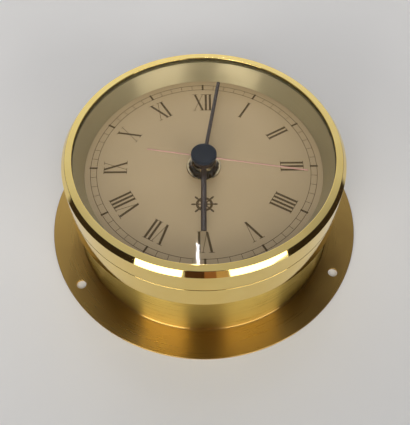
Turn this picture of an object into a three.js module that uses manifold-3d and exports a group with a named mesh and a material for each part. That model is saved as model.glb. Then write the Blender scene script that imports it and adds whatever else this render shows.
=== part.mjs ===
// Ship's clock for a bulkhead: a spun brass drum with a wide screw flange, a polished collar and
// bezel over flat glass, a printed dial, and a battery quartz movement whose toothed wheel train
// turns three hands.
//
// Millimetres. +Z points out of the dial, +Y to twelve o'clock, and the origin is the centre of
// the flange's back face. Depths in the movement are measured back from its front face.

import * as THREE from "three";
import { mergeVertices } from "three/addons/utils/BufferGeometryUtils.js";
import Module from "manifold-3d";

const wasm = await Module();
wasm.setup();

// Clearances
const ringClearance = 0.3;
const seatClearance = 0.2;
const runningClearance = 0.15;
const seamGap = 0.3;

// Case drum and flange, both sized from the polished body
const bodyRadius = 62.8;
const collarStep = 2;
const drumWall = 1;
const drumFillet = 0.8;
const drumShowing = 29.4;
const flangeWidth = 14.2;
const flangeThickness = 1;
const flangeEdge = 0.3;
const screwHoleRadius = 2.3;
const screwHoleCount = 3;
const screwCircleShare = 0.585;
const caseTurn = THREE.MathUtils.degToRad(2.35);

// Polished collar and bezel
const edgeChamfer = 0.35;
const collarHeight = 12.2;
const neckWall = 1.9;
const dialSeatWidth = 2.7;
const dialSeatThickness = 1.5;
const bezelHeight = 12.9;
const bezelWall = 1.6;
const shoulderHeight = 2.6;
const shoulderInset = 1.7;
const shoulderBulge = 0.1;
const crownRise = 0.3;
const lipWidth = 4.9;
const lipRound = 0.25;
const lipThickness = 0.5;

// Glass, seal, reflector and dial
const glassThickness = 1.2;
const gasketThickness = 0.8;
const gasketSetback = 0.1;
const reflectorSheet = 0.8;
const reflectorFlare = 4;
const dialThickness = 0.8;

// Bush stack through the dial
const bushRadius = 4.9;
const bushFlangeRadius = 7.5;
const bushFlangeThickness = 0.8;
const bushTail = 1.2;
const bushProud = 0.9;
const rubberThickness = 0.8;
const rubberWidth = 3;
const washerRadius = 7.8;
const washerThickness = 0.6;
const nutSides = 6;
const nutAcrossFlats = 12;
const nutThickness = 2.2;

// Hands, with their angles clockwise from twelve
const handGap = 1;
const bushToHand = 0.5;
const handBossRise = 0.4;
const hourHand = { length: 37.5, width: 2.4, thickness: 0.5, boss: 4.4, angle: 180.75 };
const minuteHand = { length: 47.8, width: 1.65, thickness: 0.5, boss: 3.9, angle: 9.2 };
const secondHand = { length: 46.4, tail: 25.8, width: 0.7, thickness: 0.3, boss: 2.4, angle: 100.3 };
const capRadius = 5.75;
const capThickness = 2;
const capRound = 0.5;
const capToGlass = 0.3;

// Wheel train: tooth counts, modules and levels
const rotorLeaves = 6;
const intermediateTeeth = 30;
const intermediateLeaves = 6;
const secondTeeth = 36;
const secondLeaves = 6;
const thirdTeeth = 45;
const thirdLeaves = 6;
const centreTeeth = 48;
const cannonLeaves = 10;
const motionTeeth = 30;
const motionLeaves = 8;
const hourTeeth = 32;
const trainModule = 0.333;
const toothAddendum = 0.9;
const toothDedendum = 1.2;
const toothRootShare = 0.58;
const toothTipShare = 0.22;
const wheelThickness = 0.8;
const levelGap = 0.6;
const pinionOverlap = 0.2;
const thirdDirection = THREE.MathUtils.degToRad(135);
const intermediateDirection = THREE.MathUtils.degToRad(60);
const rotorDirection = THREE.MathUtils.degToRad(45);
const motionDirection = THREE.MathUtils.degToRad(0);
const secondArborRadius = 0.6;
const wheelArborRadius = 0.5;
const motionArborRadius = 0.9;
const tubeWall = 0.75;
const pivotDepth = 0.9;
const shaftRoom = 0.35;

// Movement housing, motor and battery
const plateThickness = 1.5;
const middlePlateThickness = 1.2;
const coverThickness = 1.5;
const housingWall = 1.5;
const housingCorner = 2;
const ledgeWidth = 1.5;
const lowerLedgeWidth = 0.4;
const trainRoom = 0.8;
const magnetRadius = 3;
const magnetThickness = 2.5;
const magnetAirGap = 0.4;
const statorThickness = 1;
const statorBand = 1.4;
const statorArm = 3;
const statorSpread = 11;
const coilRise = 8.5;
const coilRadius = 2.6;
const coilEndGap = 0.4;
const boardWidth = 12;
const boardHeight = 22;
const boardThickness = 0.8;
const chipRadius = 3;
const chipHeight = 0.9;
const crystalRadius = 1.5;
const crystalLength = 8;
const cellRadius = 7.1;
const cellLength = 49.2;
const cellRound = 0.6;
const nubRadius = 2.7;
const nubLength = 1.3;
const cellRoom = 0.4;
const bayFloor = 1;
const contactSheet = 0.4;
const contactWidth = 8;
const springTravel = 1.7;
const fingerNotchWidth = 20;
const fingerNotchDepth = 5;
const knobRadius = 5;
const knobThickness = 3.6;
const knobFlutes = 18;
const knobFluteDepth = 0.4;
const knobGap = 0.5;
const knobCap = 0.9;

// Facets of large rings, small rounds and arcs
const ringSegments = 48;
const roundSegments = 12;
const bossSegments = 24;
const arcSteps = 3;

// Heights from the flange's back up to the bezel
const seamZ = drumShowing + collarHeight;
const bezelFootZ = seamZ + seamGap;
const bezelTopZ = bezelFootZ + bezelHeight;
const lipZ = bezelTopZ - lipThickness;
const glassTopZ = lipZ - seatClearance;
const glassFootZ = glassTopZ - glassThickness;
const gasketTopZ = glassFootZ - seatClearance;
const gasketFootZ = gasketTopZ - gasketThickness;
const reflectorTopZ = gasketFootZ - seatClearance;
const reflectorRimZ = reflectorTopZ - reflectorSheet;
const neckTopZ = reflectorRimZ - seatClearance;

// Heights of the stack above the dial's face, then the dial that it hangs below the glass
const washerFoot = seatClearance;
const nutFoot = washerFoot + washerThickness + seatClearance;
const bushTop = nutFoot + nutThickness + bushProud;
const hourHandFoot = bushTop + bushToHand;
const hourHandTop = hourHandFoot + hourHand.thickness;
const minuteHandFoot = hourHandTop + handGap;
const minuteHandTop = minuteHandFoot + minuteHand.thickness;
const secondHandFoot = minuteHandTop + handGap;
const secondHandTop = secondHandFoot + secondHand.thickness;
const capFoot = secondHandTop + seatClearance;
const dialZ = glassFootZ - capToGlass - capThickness - capFoot;
const dialBackZ = dialZ - dialThickness;
const dialSeatZ = dialBackZ - seatClearance;
const drumTopZ = dialSeatZ - dialSeatThickness - seatClearance;
const rubberFootZ = dialBackZ - seatClearance - rubberThickness;
const bushFlangeFootZ = rubberFootZ - seatClearance - bushFlangeThickness;
const movementFrontZ = bushFlangeFootZ - seatClearance;

// Radii of the nested rings
const drumRadius = bodyRadius - collarStep;
const drumBore = drumRadius - drumWall;
const flangeRadius = drumRadius + flangeWidth;
const screwCircleRadius = drumRadius + flangeWidth * screwCircleShare;
const collarBore = drumRadius + ringClearance;
const lipRadius = bodyRadius - lipWidth;
const gasketBore = lipRadius + gasketSetback;
const bezelBore = bodyRadius - bezelWall;
const neckRadius = bezelBore - ringClearance;
const neckBore = neckRadius - neckWall;
const dialRadius = neckBore - ringClearance;
const reflectorTopRadius = dialRadius - reflectorSheet;
const reflectorFootRadius = reflectorTopRadius - reflectorFlare;
const bushHoleRadius = bushRadius + ringClearance;

// Radii of the nested shafts: second arbor, cannon tube, hour pipe, bush
const cannonBore = secondArborRadius + runningClearance;
const cannonRadius = cannonBore + tubeWall;
const hourPipeBore = cannonRadius + runningClearance;
const hourPipeRadius = hourPipeBore + tubeWall;
const bushBore = hourPipeRadius + runningClearance;

// Levels of the train as depths behind the movement's front face
const levelStep = wheelThickness + levelGap;
const hourLevel = plateThickness + levelGap;
const motionLevel = hourLevel + levelStep;
const centreLevel = motionLevel + levelStep;
const middlePlateFront = centreLevel + levelStep;
const middlePlateBack = middlePlateFront + middlePlateThickness;
const thirdLevel = middlePlateBack + levelGap;
const secondLevel = thirdLevel + levelStep;
const intermediateLevel = secondLevel + levelStep;
const magnetLevel = intermediateLevel + levelStep;
const coverFront = magnetLevel + magnetThickness + levelGap;
const coverBack = coverFront + coverThickness;
const housingDepth = coverFront - seatClearance;
const rearPivot = coverFront + pivotDepth;
const frontPivot = plateThickness - pivotDepth;

// Arbor places in the movement's plane
const thirdDistance = ((centreTeeth + thirdLeaves) / 2) * trainModule;
const secondPinionModule = (2 * thirdDistance) / (thirdTeeth + secondLeaves);
const intermediateDistance = ((secondTeeth + intermediateLeaves) / 2) * trainModule;
const rotorDistance = ((intermediateTeeth + rotorLeaves) / 2) * trainModule;
const centreWheelTip = tipRadius(centreTeeth, trainModule);
const motionDistance = centreWheelTip + shaftRoom + motionArborRadius;
const motionModule = (2 * motionDistance) / (motionTeeth + cannonLeaves);
const hourModule = (2 * motionDistance) / (hourTeeth + motionLeaves);
const centreAt = new THREE.Vector2(0, 0);
const thirdAt = polar(thirdDistance, thirdDirection);
const intermediateAt = polar(intermediateDistance, intermediateDirection);
const rotorAt = polar(rotorDistance, rotorDirection).add(intermediateAt);
const motionAt = polar(motionDistance, motionDirection);

// Housing outline: battery bay below, train chamber above, battery length across
const chamberBottom = -centreWheelTip - trainRoom;
const bayTop = chamberBottom - housingWall;
const bayBottom = bayTop - 2 * (cellRadius + cellRoom);
const housingBottom = bayBottom - housingWall;
const coilY = rotorAt.y + coilRise;
const chamberTop = Math.max(coilY + coilRadius + trainRoom + ledgeWidth, -bayBottom);
const housingTop = chamberTop + housingWall;
const contactRoom = contactSheet + 2 * seatClearance;
const bayRight = (cellLength + nubLength) / 2 + contactRoom;
const bayLeft = -(cellLength + nubLength) / 2 - contactRoom - springTravel;
const housingRight = Math.max(bayRight, -bayLeft) + housingWall;
const chamberRight = housingRight - housingWall;
const cellY = (bayTop + bayBottom) / 2;
const cellDepth = bayFloor + cellRoom + cellRadius;
const statorLevel = magnetLevel + (magnetThickness - statorThickness) / 2;
const coreLevel = statorLevel - seatClearance - statorThickness;
const boardLevel = coverFront - seatClearance - boardThickness;
const boardLeft = -chamberRight + trainRoom;
const boardMiddle = boardLeft + boardWidth / 2;
const boardBottom = chamberBottom + trainRoom;

// Finishes
const brushedBrass = finish(0xa8873f, 0.42, 1);
const polishedBrass = finish(0xd9c078, 0.12, 1);
const paleBrass = finish(0xc9b27a, 0.35, 1);
const dialFinish = finish(0xab9a78, 0.5, 0.4);
const glassFinish = finish(0xdfe6e4, 0.05, 0);
const rubberFinish = finish(0x1c1b1a, 0.8, 0);
const blackPaint = finish(0x171310, 0.4, 0);
const redPaint = finish(0xa8382c, 0.45, 0);
const blackPlastic = finish(0x202022, 0.5, 0);
const whitePlastic = finish(0xe6e3da, 0.45, 0);
const steel = finish(0x9a9da0, 0.3, 1);
const nickel = finish(0xb9b7b0, 0.3, 1);
const copper = finish(0xa85f32, 0.35, 1);
const magnetFinish = finish(0x3a3b3e, 0.4, 0.6);
const boardGreen = finish(0x2f5a3a, 0.55, 0);
const cellFinish = finish(0x6d7074, 0.35, 0.7);

const clock = new THREE.Group();

addCase();
addDialStack();
addHousing();
addMotor();
addBattery();
addTrain();
addHands();

export default clock;

// Case: drum with flange, collar, bezel and what the bezel holds down

function addCase() {
  const flangeTop = flangeThickness;
  const drum = revolve([
    [drumBore, 0],
    [flangeRadius - flangeEdge, 0],
    [flangeRadius, flangeEdge],
    [flangeRadius, flangeTop - flangeEdge],
    [flangeRadius - flangeEdge, flangeTop],
    ...arc(drumRadius + drumFillet, flangeTop + drumFillet, drumFillet, -90, -180),
    [drumRadius, drumTopZ],
    [drumBore, drumTopZ],
  ]);
  const screwHole = rod(screwHoleRadius, -flangeThickness, 3 * flangeThickness);
  const holes = [];
  for (let i = 0; i < screwHoleCount; i += 1) {
    const angle = Math.PI / 2 + caseTurn + (i * 2 * Math.PI) / screwHoleCount;
    const at = polar(screwCircleRadius, angle);
    holes.push(screwHole.clone().translate(at.x, at.y, 0));
  }
  add("case_drum", carve(drum, ...holes), brushedBrass);

  const collar = revolve([
    [collarBore, drumShowing],
    [bodyRadius - edgeChamfer, drumShowing],
    [bodyRadius, drumShowing + edgeChamfer],
    [bodyRadius, seamZ - edgeChamfer],
    [bodyRadius - edgeChamfer, seamZ],
    [neckRadius, seamZ],
    [neckRadius, neckTopZ],
    [neckBore, neckTopZ],
    [neckBore, dialSeatZ],
    [neckBore - dialSeatWidth, dialSeatZ],
    [neckBore - dialSeatWidth, dialSeatZ - dialSeatThickness],
    [collarBore, dialSeatZ - dialSeatThickness],
  ]);
  add("collar_ring", collar, polishedBrass);

  const shoulderTopZ = bezelTopZ - crownRise;
  const shoulderFootZ = shoulderTopZ - shoulderHeight;
  const crownRadius = bodyRadius - shoulderInset;
  const bezel = revolve([
    [bezelBore, bezelFootZ],
    [bodyRadius - edgeChamfer, bezelFootZ],
    [bodyRadius, bezelFootZ + edgeChamfer],
    ...bulge([bodyRadius, shoulderFootZ], [crownRadius, shoulderTopZ], shoulderBulge),
    ...arc(lipRadius + lipRound, bezelTopZ - lipRound, lipRound, 90, 180),
    [lipRadius, lipZ],
    [bezelBore, lipZ],
  ]);
  add("bezel_ring", bezel, polishedBrass);

  const glass = revolveSolid([
    [neckRadius, glassFootZ],
    [neckRadius, glassTopZ],
  ]);
  add("glass_pane", glass, glassFinish);

  const gasket = ring(gasketBore, neckRadius, gasketFootZ, gasketTopZ);
  add("glass_gasket", gasket, rubberFinish);

  const reflectorFootZ = dialZ + seatClearance;
  const reflector = revolve([
    [reflectorFootRadius, reflectorFootZ],
    [reflectorFootRadius + reflectorSheet, reflectorFootZ],
    [reflectorTopRadius + reflectorSheet, reflectorRimZ],
    [neckRadius, reflectorRimZ],
    [neckRadius, reflectorTopZ],
    [reflectorTopRadius, reflectorTopZ],
  ]);
  add("reflector_ring", reflector, paleBrass);

  add("dial_plate", ring(bushHoleRadius, dialRadius, dialBackZ, dialZ), dialFinish);
}

// Bush, nut and washers that clamp the movement to the dial

function addDialStack() {
  const bushFootZ = movementFrontZ - bushTail;
  const bush = revolve([
    [bushBore, bushFootZ],
    [bushRadius, bushFootZ],
    [bushRadius, bushFlangeFootZ],
    [bushFlangeRadius, bushFlangeFootZ],
    [bushFlangeRadius, bushFlangeFootZ + bushFlangeThickness],
    [bushRadius, bushFlangeFootZ + bushFlangeThickness],
    [bushRadius, dialZ + bushTop],
    [bushBore, dialZ + bushTop],
  ], bossSegments);
  add("threaded_bush", bush, paleBrass);

  const rubberTopZ = rubberFootZ + rubberThickness;
  const rubber = ring(bushHoleRadius, bushHoleRadius + rubberWidth, rubberFootZ, rubberTopZ, bossSegments);
  add("rubber_washer", rubber, rubberFinish);

  const washerZ = dialZ + washerFoot;
  const washer = ring(bushHoleRadius, washerRadius, washerZ, washerZ + washerThickness, bossSegments);
  add("brass_washer", washer, paleBrass);

  const nutCorner = nutAcrossFlats / 2 / Math.cos(Math.PI / nutSides);
  const hexagon = new THREE.Shape(around(nutSides, (angle) => polar(nutCorner, angle)));
  hexagon.holes.push(circle(bushHoleRadius));
  add("hex_nut", extrude(hexagon, dialZ + nutFoot, nutThickness), paleBrass);
}

// Movement housing: case with battery bay, middle plate on a ledge, and cover

function addHousing() {
  const outline = roundedBox(-housingRight, housingBottom, housingRight, housingTop, housingCorner);
  const shell = slab(outline, 0, housingDepth);
  const frontRoom = block(
    -chamberRight + ledgeWidth, chamberBottom + lowerLedgeWidth,
    chamberRight - ledgeWidth, chamberTop - ledgeWidth,
    plateThickness, middlePlateFront,
  );
  const ledgeDepth = middlePlateFront - seatClearance;
  const rearRoom = block(-chamberRight, chamberBottom, chamberRight, chamberTop, ledgeDepth, coverBack);
  const bay = block(bayLeft, bayBottom, bayRight, bayTop, bayFloor, coverBack);
  const notch = block(
    -fingerNotchWidth / 2, housingBottom - housingWall,
    fingerNotchWidth / 2, bayBottom + housingWall,
    housingDepth - fingerNotchDepth, coverBack,
  );
  const pivots = [
    bore(thirdAt, wheelArborRadius, frontPivot, plateThickness),
    bore(motionAt, motionArborRadius, frontPivot, plateThickness),
  ];
  const bushHole = rodBetween(bushHoleRadius, -plateThickness, 2 * plateThickness, bossSegments);
  add("movement_case", carve(shell, frontRoom, rearRoom, bay, notch, bushHole, ...pivots), blackPlastic);

  const plateOutline = roundedBox(
    -chamberRight + ringClearance, chamberBottom + ringClearance,
    chamberRight - ringClearance, chamberTop - ringClearance,
    housingCorner / 2,
  );
  const thirdPinionTip = tipRadius(thirdLeaves, trainModule);
  const plate = carve(
    slab(plateOutline, middlePlateFront, middlePlateBack),
    bore(centreAt, secondArborRadius, middlePlateFront, middlePlateBack),
    bore(thirdAt, thirdPinionTip, middlePlateFront, middlePlateBack),
    bore(motionAt, motionArborRadius, middlePlateFront, middlePlateBack),
    bore(intermediateAt, wheelArborRadius, middlePlateFront, middlePlateBack),
    bore(rotorAt, wheelArborRadius, middlePlateFront, middlePlateBack),
  );
  add("middle_plate", plate, whitePlastic);

  const coverOutline = roundedBox(-housingRight, bayTop, housingRight, housingTop, housingCorner);
  const cover = carve(
    slab(coverOutline, coverFront, coverBack),
    bore(centreAt, secondArborRadius, coverFront, rearPivot),
    bore(thirdAt, wheelArborRadius, coverFront, rearPivot),
    bore(intermediateAt, wheelArborRadius, coverFront, rearPivot),
    bore(rotorAt, wheelArborRadius, coverFront, rearPivot),
    bore(motionAt, motionArborRadius, coverFront, coverBack),
  );
  add("movement_cover", cover, blackPlastic);
}

// Stepping motor and electronics

function addMotor() {
  const statorRing = magnetRadius + magnetAirGap + statorBand;
  const armHalf = statorArm / 2;
  const frame = new THREE.Shape();
  frame.moveTo(-statorSpread - armHalf, coilRise + armHalf);
  frame.lineTo(-statorSpread - armHalf, -armHalf);
  const armAngle = Math.asin(armHalf / statorRing);
  frame.absarc(0, 0, statorRing, Math.PI + armAngle, -armAngle, false);
  frame.lineTo(statorSpread + armHalf, -armHalf);
  frame.lineTo(statorSpread + armHalf, coilRise + armHalf);
  frame.lineTo(statorSpread - armHalf, coilRise + armHalf);
  frame.lineTo(statorSpread - armHalf, armHalf);
  frame.absarc(0, 0, statorRing, armAngle, Math.PI - armAngle, false);
  frame.lineTo(-statorSpread + armHalf, armHalf);
  frame.lineTo(-statorSpread + armHalf, coilRise + armHalf);
  frame.closePath();
  frame.holes.push(circle(magnetRadius + magnetAirGap));
  const stator = slab(frame, statorLevel, statorLevel + statorThickness).translate(rotorAt.x, rotorAt.y, 0);
  add("stator_plate", stator, steel);

  const coreHalf = statorSpread + armHalf;
  const core = block(
    rotorAt.x - coreHalf, coilY - armHalf, rotorAt.x + coreHalf, coilY + armHalf,
    coreLevel, coreLevel + statorThickness,
  );
  add("coil_core", core, steel);

  const winding = circle(coilRadius);
  const slot = armHalf + seatClearance;
  const slotDepth = statorThickness / 2 + seatClearance;
  winding.holes.push(rectangle(-slotDepth, -slot, slotDepth, slot));
  const coilHalf = statorSpread - armHalf - coilEndGap;
  const coil = extrude(winding, -coilHalf, 2 * coilHalf).rotateY(Math.PI / 2);
  coil.translate(rotorAt.x, coilY, movementFrontZ - coreLevel - statorThickness / 2);
  add("coil_winding", coil, copper);

  const boardTop = boardBottom + boardHeight;
  const board = block(
    boardLeft, boardBottom, boardLeft + boardWidth, boardTop, boardLevel, boardLevel + boardThickness,
  );
  add("circuit_board", board, boardGreen);

  const chipBack = boardLevel - seatClearance;
  const chipY = boardBottom + boardHeight / 4;
  const chip = rod(chipRadius, movementFrontZ - chipBack, chipHeight);
  add("control_chip", chip.translate(boardMiddle, chipY, 0), rubberFinish);

  const crystal = rod(crystalRadius, -crystalLength / 2, crystalLength).rotateX(Math.PI / 2);
  const crystalY = boardBottom + (boardHeight * 3) / 4;
  crystal.translate(boardMiddle, crystalY, movementFrontZ - chipBack + crystalRadius);
  add("quartz_crystal", crystal, nickel);
}

// Battery cell with its two contacts

function addBattery() {
  const cellZ = movementFrontZ - cellDepth;
  const half = (cellLength + nubLength) / 2;
  const cell = revolveSolid([
    [cellRadius - cellRound, -half],
    [cellRadius, -half + cellRound],
    [cellRadius, half - nubLength - cellRound],
    [cellRadius - cellRound, half - nubLength],
    [nubRadius, half - nubLength],
    [nubRadius, half],
  ], bossSegments);
  add("battery_cell", cell.rotateY(Math.PI / 2).translate(0, cellY, cellZ), cellFinish);

  const plusX = half + seatClearance;
  const contactTop = cellY + contactWidth / 2;
  const contactFoot = cellY - contactWidth / 2;
  const plusShape = rectangle(plusX, contactFoot, plusX + contactSheet, contactTop);
  add("contact_positive", slab(plusShape, bayFloor + seatClearance, cellDepth + contactWidth / 2), nickel);

  const leaf = new THREE.Shape();
  const rearX = bayLeft + seatClearance;
  const frontX = -half - seatClearance;
  leaf.moveTo(rearX, contactFoot);
  leaf.lineTo(rearX + contactSheet, contactFoot);
  leaf.lineTo(frontX, cellY - contactSheet);
  leaf.lineTo(frontX, cellY + contactSheet);
  leaf.lineTo(rearX + contactSheet, contactTop);
  leaf.lineTo(rearX, contactTop);
  leaf.lineTo(rearX, contactTop - contactSheet);
  leaf.lineTo(frontX - contactSheet, cellY);
  leaf.lineTo(rearX, contactFoot + contactSheet);
  leaf.closePath();
  add("contact_negative", slab(leaf, bayFloor + seatClearance, cellDepth + contactWidth / 2), nickel);
}

// Wheel train from the rotor to the hands, each wheel meshed with the next

function addTrain() {
  const rotorPinion = pinion(rotorLeaves, trainModule, intermediateLevel, magnetLevel);
  const rotor = fuse(
    rotorPinion.rotateZ(toothAt(rotorAt, intermediateAt)),
    rodBetween(magnetRadius, magnetLevel, magnetLevel + magnetThickness, bossSegments),
    rodBetween(wheelArborRadius, middlePlateFront, rearPivot),
  );
  add("rotor", rotor.translate(rotorAt.x, rotorAt.y, 0), magnetFinish);

  const intermediatePinion = pinion(intermediateLeaves, trainModule, secondLevel, intermediateLevel);
  const intermediate = fuse(
    wheel(intermediateTeeth, trainModule, intermediateLevel)
      .rotateZ(gapAt(intermediateAt, rotorAt, intermediateTeeth)),
    intermediatePinion.rotateZ(toothAt(intermediateAt, centreAt)),
    rodBetween(wheelArborRadius, middlePlateFront, rearPivot),
  );
  add("intermediate_wheel", intermediate.translate(intermediateAt.x, intermediateAt.y, 0), whitePlastic);

  const secondPinion = pinion(secondLeaves, secondPinionModule, thirdLevel, secondLevel);
  const arborTop = -(dialZ + secondHandTop - movementFrontZ);
  const second = fuse(
    wheel(secondTeeth, trainModule, secondLevel).rotateZ(gapAt(centreAt, intermediateAt, secondTeeth)),
    secondPinion.rotateZ(toothAt(centreAt, thirdAt)),
    rodBetween(secondArborRadius, arborTop, rearPivot),
  );
  add("second_wheel", second, whitePlastic);

  const thirdPinion = pinion(thirdLeaves, trainModule, centreLevel, thirdLevel);
  const third = fuse(
    wheel(thirdTeeth, secondPinionModule, thirdLevel).rotateZ(gapAt(thirdAt, centreAt, thirdTeeth)),
    thirdPinion.rotateZ(toothAt(thirdAt, centreAt)),
    rodBetween(wheelArborRadius, frontPivot, rearPivot),
  );
  add("third_wheel", third.translate(thirdAt.x, thirdAt.y, 0), whitePlastic);

  const centre = carve(
    wheel(centreTeeth, trainModule, centreLevel).rotateZ(gapAt(centreAt, thirdAt, centreTeeth)),
    bore(centreAt, cannonRadius, centreLevel, centreLevel + wheelThickness),
  );
  add("centre_wheel", centre, paleBrass);

  const cannonPinion = pinion(cannonLeaves, motionModule, motionLevel, motionLevel + wheelThickness);
  const cannonTop = -(dialZ + minuteHandTop - movementFrontZ);
  const cannonBack = centreLevel + wheelThickness;
  const cannon = carve(
    fuse(
      cannonPinion.rotateZ(toothAt(centreAt, motionAt)),
      rodBetween(cannonRadius, cannonTop, cannonBack),
    ),
    bore(centreAt, secondArborRadius, cannonTop, cannonBack),
  );
  add("cannon_pinion", cannon, paleBrass);

  const motionPinion = pinion(motionLeaves, hourModule, hourLevel, motionLevel);
  const motionEnd = coverBack + knobGap + knobThickness - knobCap - seatClearance;
  const motion = fuse(
    wheel(motionTeeth, motionModule, motionLevel).rotateZ(gapAt(motionAt, centreAt, motionTeeth)),
    motionPinion.rotateZ(toothAt(motionAt, centreAt)),
    rodBetween(motionArborRadius, frontPivot, motionEnd),
  );
  add("motion_wheel", motion.translate(motionAt.x, motionAt.y, 0), whitePlastic);

  const pipeTop = -(dialZ + hourHandTop - movementFrontZ);
  const pipeBack = hourLevel + wheelThickness;
  const hour = carve(
    fuse(
      wheel(hourTeeth, hourModule, hourLevel).rotateZ(gapAt(centreAt, motionAt, hourTeeth)),
      rodBetween(hourPipeRadius, pipeTop, pipeBack),
    ),
    bore(centreAt, cannonRadius, pipeTop, pipeBack),
  );
  add("hour_wheel", hour, whitePlastic);

  const knobFront = coverBack + knobGap;
  const knobBack = knobFront + knobThickness;
  const flutes = around(2 * knobFlutes, (angle, i) => polar(knobRadius - (i % 2) * knobFluteDepth, angle));
  const knob = carve(
    slab(new THREE.Shape(flutes), knobFront, knobBack),
    bore(centreAt, motionArborRadius, knobFront, knobBack - knobCap),
  );
  add("setting_knob", knob.translate(motionAt.x, motionAt.y, 0), whitePlastic);
}

// Hands on their shafts, and the cap over the hub

function addHands() {
  addHand("hour_hand", hourHand, hourHandFoot, hourPipeRadius, blackPaint);
  addHand("minute_hand", minuteHand, minuteHandFoot, cannonRadius, blackPaint);
  addHand("second_hand", secondHand, secondHandFoot, secondArborRadius, redPaint);

  const capFootZ = dialZ + capFoot;
  const capTopZ = capFootZ + capThickness;
  const cap = revolveSolid([
    [capRadius, capFootZ],
    ...arc(capRadius - capRound, capTopZ - capRound, capRound, 0, 90),
  ], bossSegments);
  add("second_hand_cap", cap, blackPaint);
}

function addHand(name, hand, foot, shaftRadius, material) {
  const z = dialZ + foot;
  const tail = hand.tail ?? 0;
  const blade = extrude(rectangle(-hand.width / 2, -tail, hand.width / 2, hand.length), z, hand.thickness);
  const bossHeight = hand.thickness + (hand.tail ? 0 : handBossRise);
  const boss = rod(hand.boss, z, bossHeight, bossSegments);
  const shaftHole = rod(shaftRadius + runningClearance, z - bossHeight, 3 * bossHeight);
  const body = carve(fuse(blade, boss), shaftHole);
  add(name, body.rotateZ(-THREE.MathUtils.degToRad(hand.angle)), material);
}

// Toothed wheels

function tipRadius(teeth, module) {
  return (teeth / 2 + toothAddendum) * module;
}

function gearShape(teeth, module) {
  const pitch = (2 * Math.PI) / teeth;
  const tip = tipRadius(teeth, module);
  const root = (teeth / 2 - toothDedendum) * module;
  const flanks = [
    [-toothRootShare, root],
    [-toothTipShare, tip],
    [toothTipShare, tip],
    [toothRootShare, root],
  ];
  const points = [];
  for (let i = 0; i < teeth; i += 1) {
    for (const [share, radius] of flanks) {
      points.push(polar(radius, (i + share / 2) * pitch));
    }
  }
  return new THREE.Shape(points);
}

function wheel(teeth, module, level) {
  return slab(gearShape(teeth, module), level, level + wheelThickness);
}

function pinion(leaves, module, front, back) {
  return slab(gearShape(leaves, module), front - pinionOverlap, back + pinionOverlap);
}

// Turn that puts a tooth of the wheel at one place on the line to another, or a gap there

function toothAt(from, to) {
  return Math.atan2(to.y - from.y, to.x - from.x);
}

function gapAt(from, to, teeth) {
  return toothAt(from, to) + Math.PI / teeth;
}

// Shapes and solids

function polar(radius, angle) {
  return new THREE.Vector2(radius * Math.cos(angle), radius * Math.sin(angle));
}

function around(count, pointAt) {
  return Array.from({ length: count }, (_, i) => pointAt((i * 2 * Math.PI) / count, i));
}

function arc(r, z, radius, fromDegrees, toDegrees) {
  return Array.from({ length: arcSteps + 1 }, (_, i) => {
    const angle = THREE.MathUtils.degToRad(THREE.MathUtils.lerp(fromDegrees, toDegrees, i / arcSteps));
    return [r + radius * Math.cos(angle), z + radius * Math.sin(angle)];
  });
}

function bulge(from, to, height) {
  const along = new THREE.Vector2(to[0] - from[0], to[1] - from[1]);
  const out = new THREE.Vector2(along.y, -along.x).normalize();
  return Array.from({ length: arcSteps + 1 }, (_, i) => {
    const share = i / arcSteps;
    const swell = height * Math.sin(Math.PI * share);
    return [from[0] + along.x * share + out.x * swell, from[1] + along.y * share + out.y * swell];
  });
}

function circle(radius) {
  return new THREE.Shape(around(bossSegments, (angle) => polar(radius, angle)));
}

function rectangle(left, bottom, right, top) {
  const corners = [[left, bottom], [right, bottom], [right, top], [left, top]];
  return new THREE.Shape(corners.map(([x, y]) => new THREE.Vector2(x, y)));
}

function roundedBox(left, bottom, right, top, radius) {
  const shape = new THREE.Shape();
  shape.absarc(right - radius, bottom + radius, radius, -Math.PI / 2, 0);
  shape.absarc(right - radius, top - radius, radius, 0, Math.PI / 2);
  shape.absarc(left + radius, top - radius, radius, Math.PI / 2, Math.PI);
  shape.absarc(left + radius, bottom + radius, radius, Math.PI, 1.5 * Math.PI);
  shape.closePath();
  return shape;
}

function extrude(shape, z, height) {
  const options = { depth: height, bevelEnabled: false, steps: 1, curveSegments: arcSteps };
  return new THREE.ExtrudeGeometry(shape, options).translate(0, 0, z);
}

function slab(shape, front, back) {
  return extrude(shape, movementFrontZ - back, back - front);
}

function block(left, bottom, right, top, front, back) {
  return slab(rectangle(left, bottom, right, top), front, back);
}

function revolve(profile, segments = ringSegments) {
  const points = [...profile, profile[0]].map(([r, z]) => new THREE.Vector2(r, z));
  return new THREE.LatheGeometry(points, segments).rotateX(Math.PI / 2);
}

function revolveSolid(profile, segments = ringSegments) {
  const foot = [0, profile[0][1]];
  const top = [0, profile[profile.length - 1][1]];
  const points = [foot, ...profile, top].map(([r, z]) => new THREE.Vector2(r, z));
  return new THREE.LatheGeometry(points, segments).rotateX(Math.PI / 2);
}

function ring(inner, outer, foot, top, segments = ringSegments) {
  return revolve([[inner, foot], [outer, foot], [outer, top], [inner, top]], segments);
}

function rod(radius, foot, height, segments = roundSegments) {
  const geometry = new THREE.CylinderGeometry(radius, radius, height, segments);
  return geometry.rotateX(Math.PI / 2).translate(0, 0, foot + height / 2);
}

function rodBetween(radius, front, back, segments = roundSegments) {
  return rod(radius, movementFrontZ - back, back - front, segments);
}

function bore(at, shaftRadius, front, back) {
  const overrun = runningClearance;
  const hole = rodBetween(shaftRadius + runningClearance, front - overrun, back + overrun);
  return hole.translate(at.x, at.y, 0);
}

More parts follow.
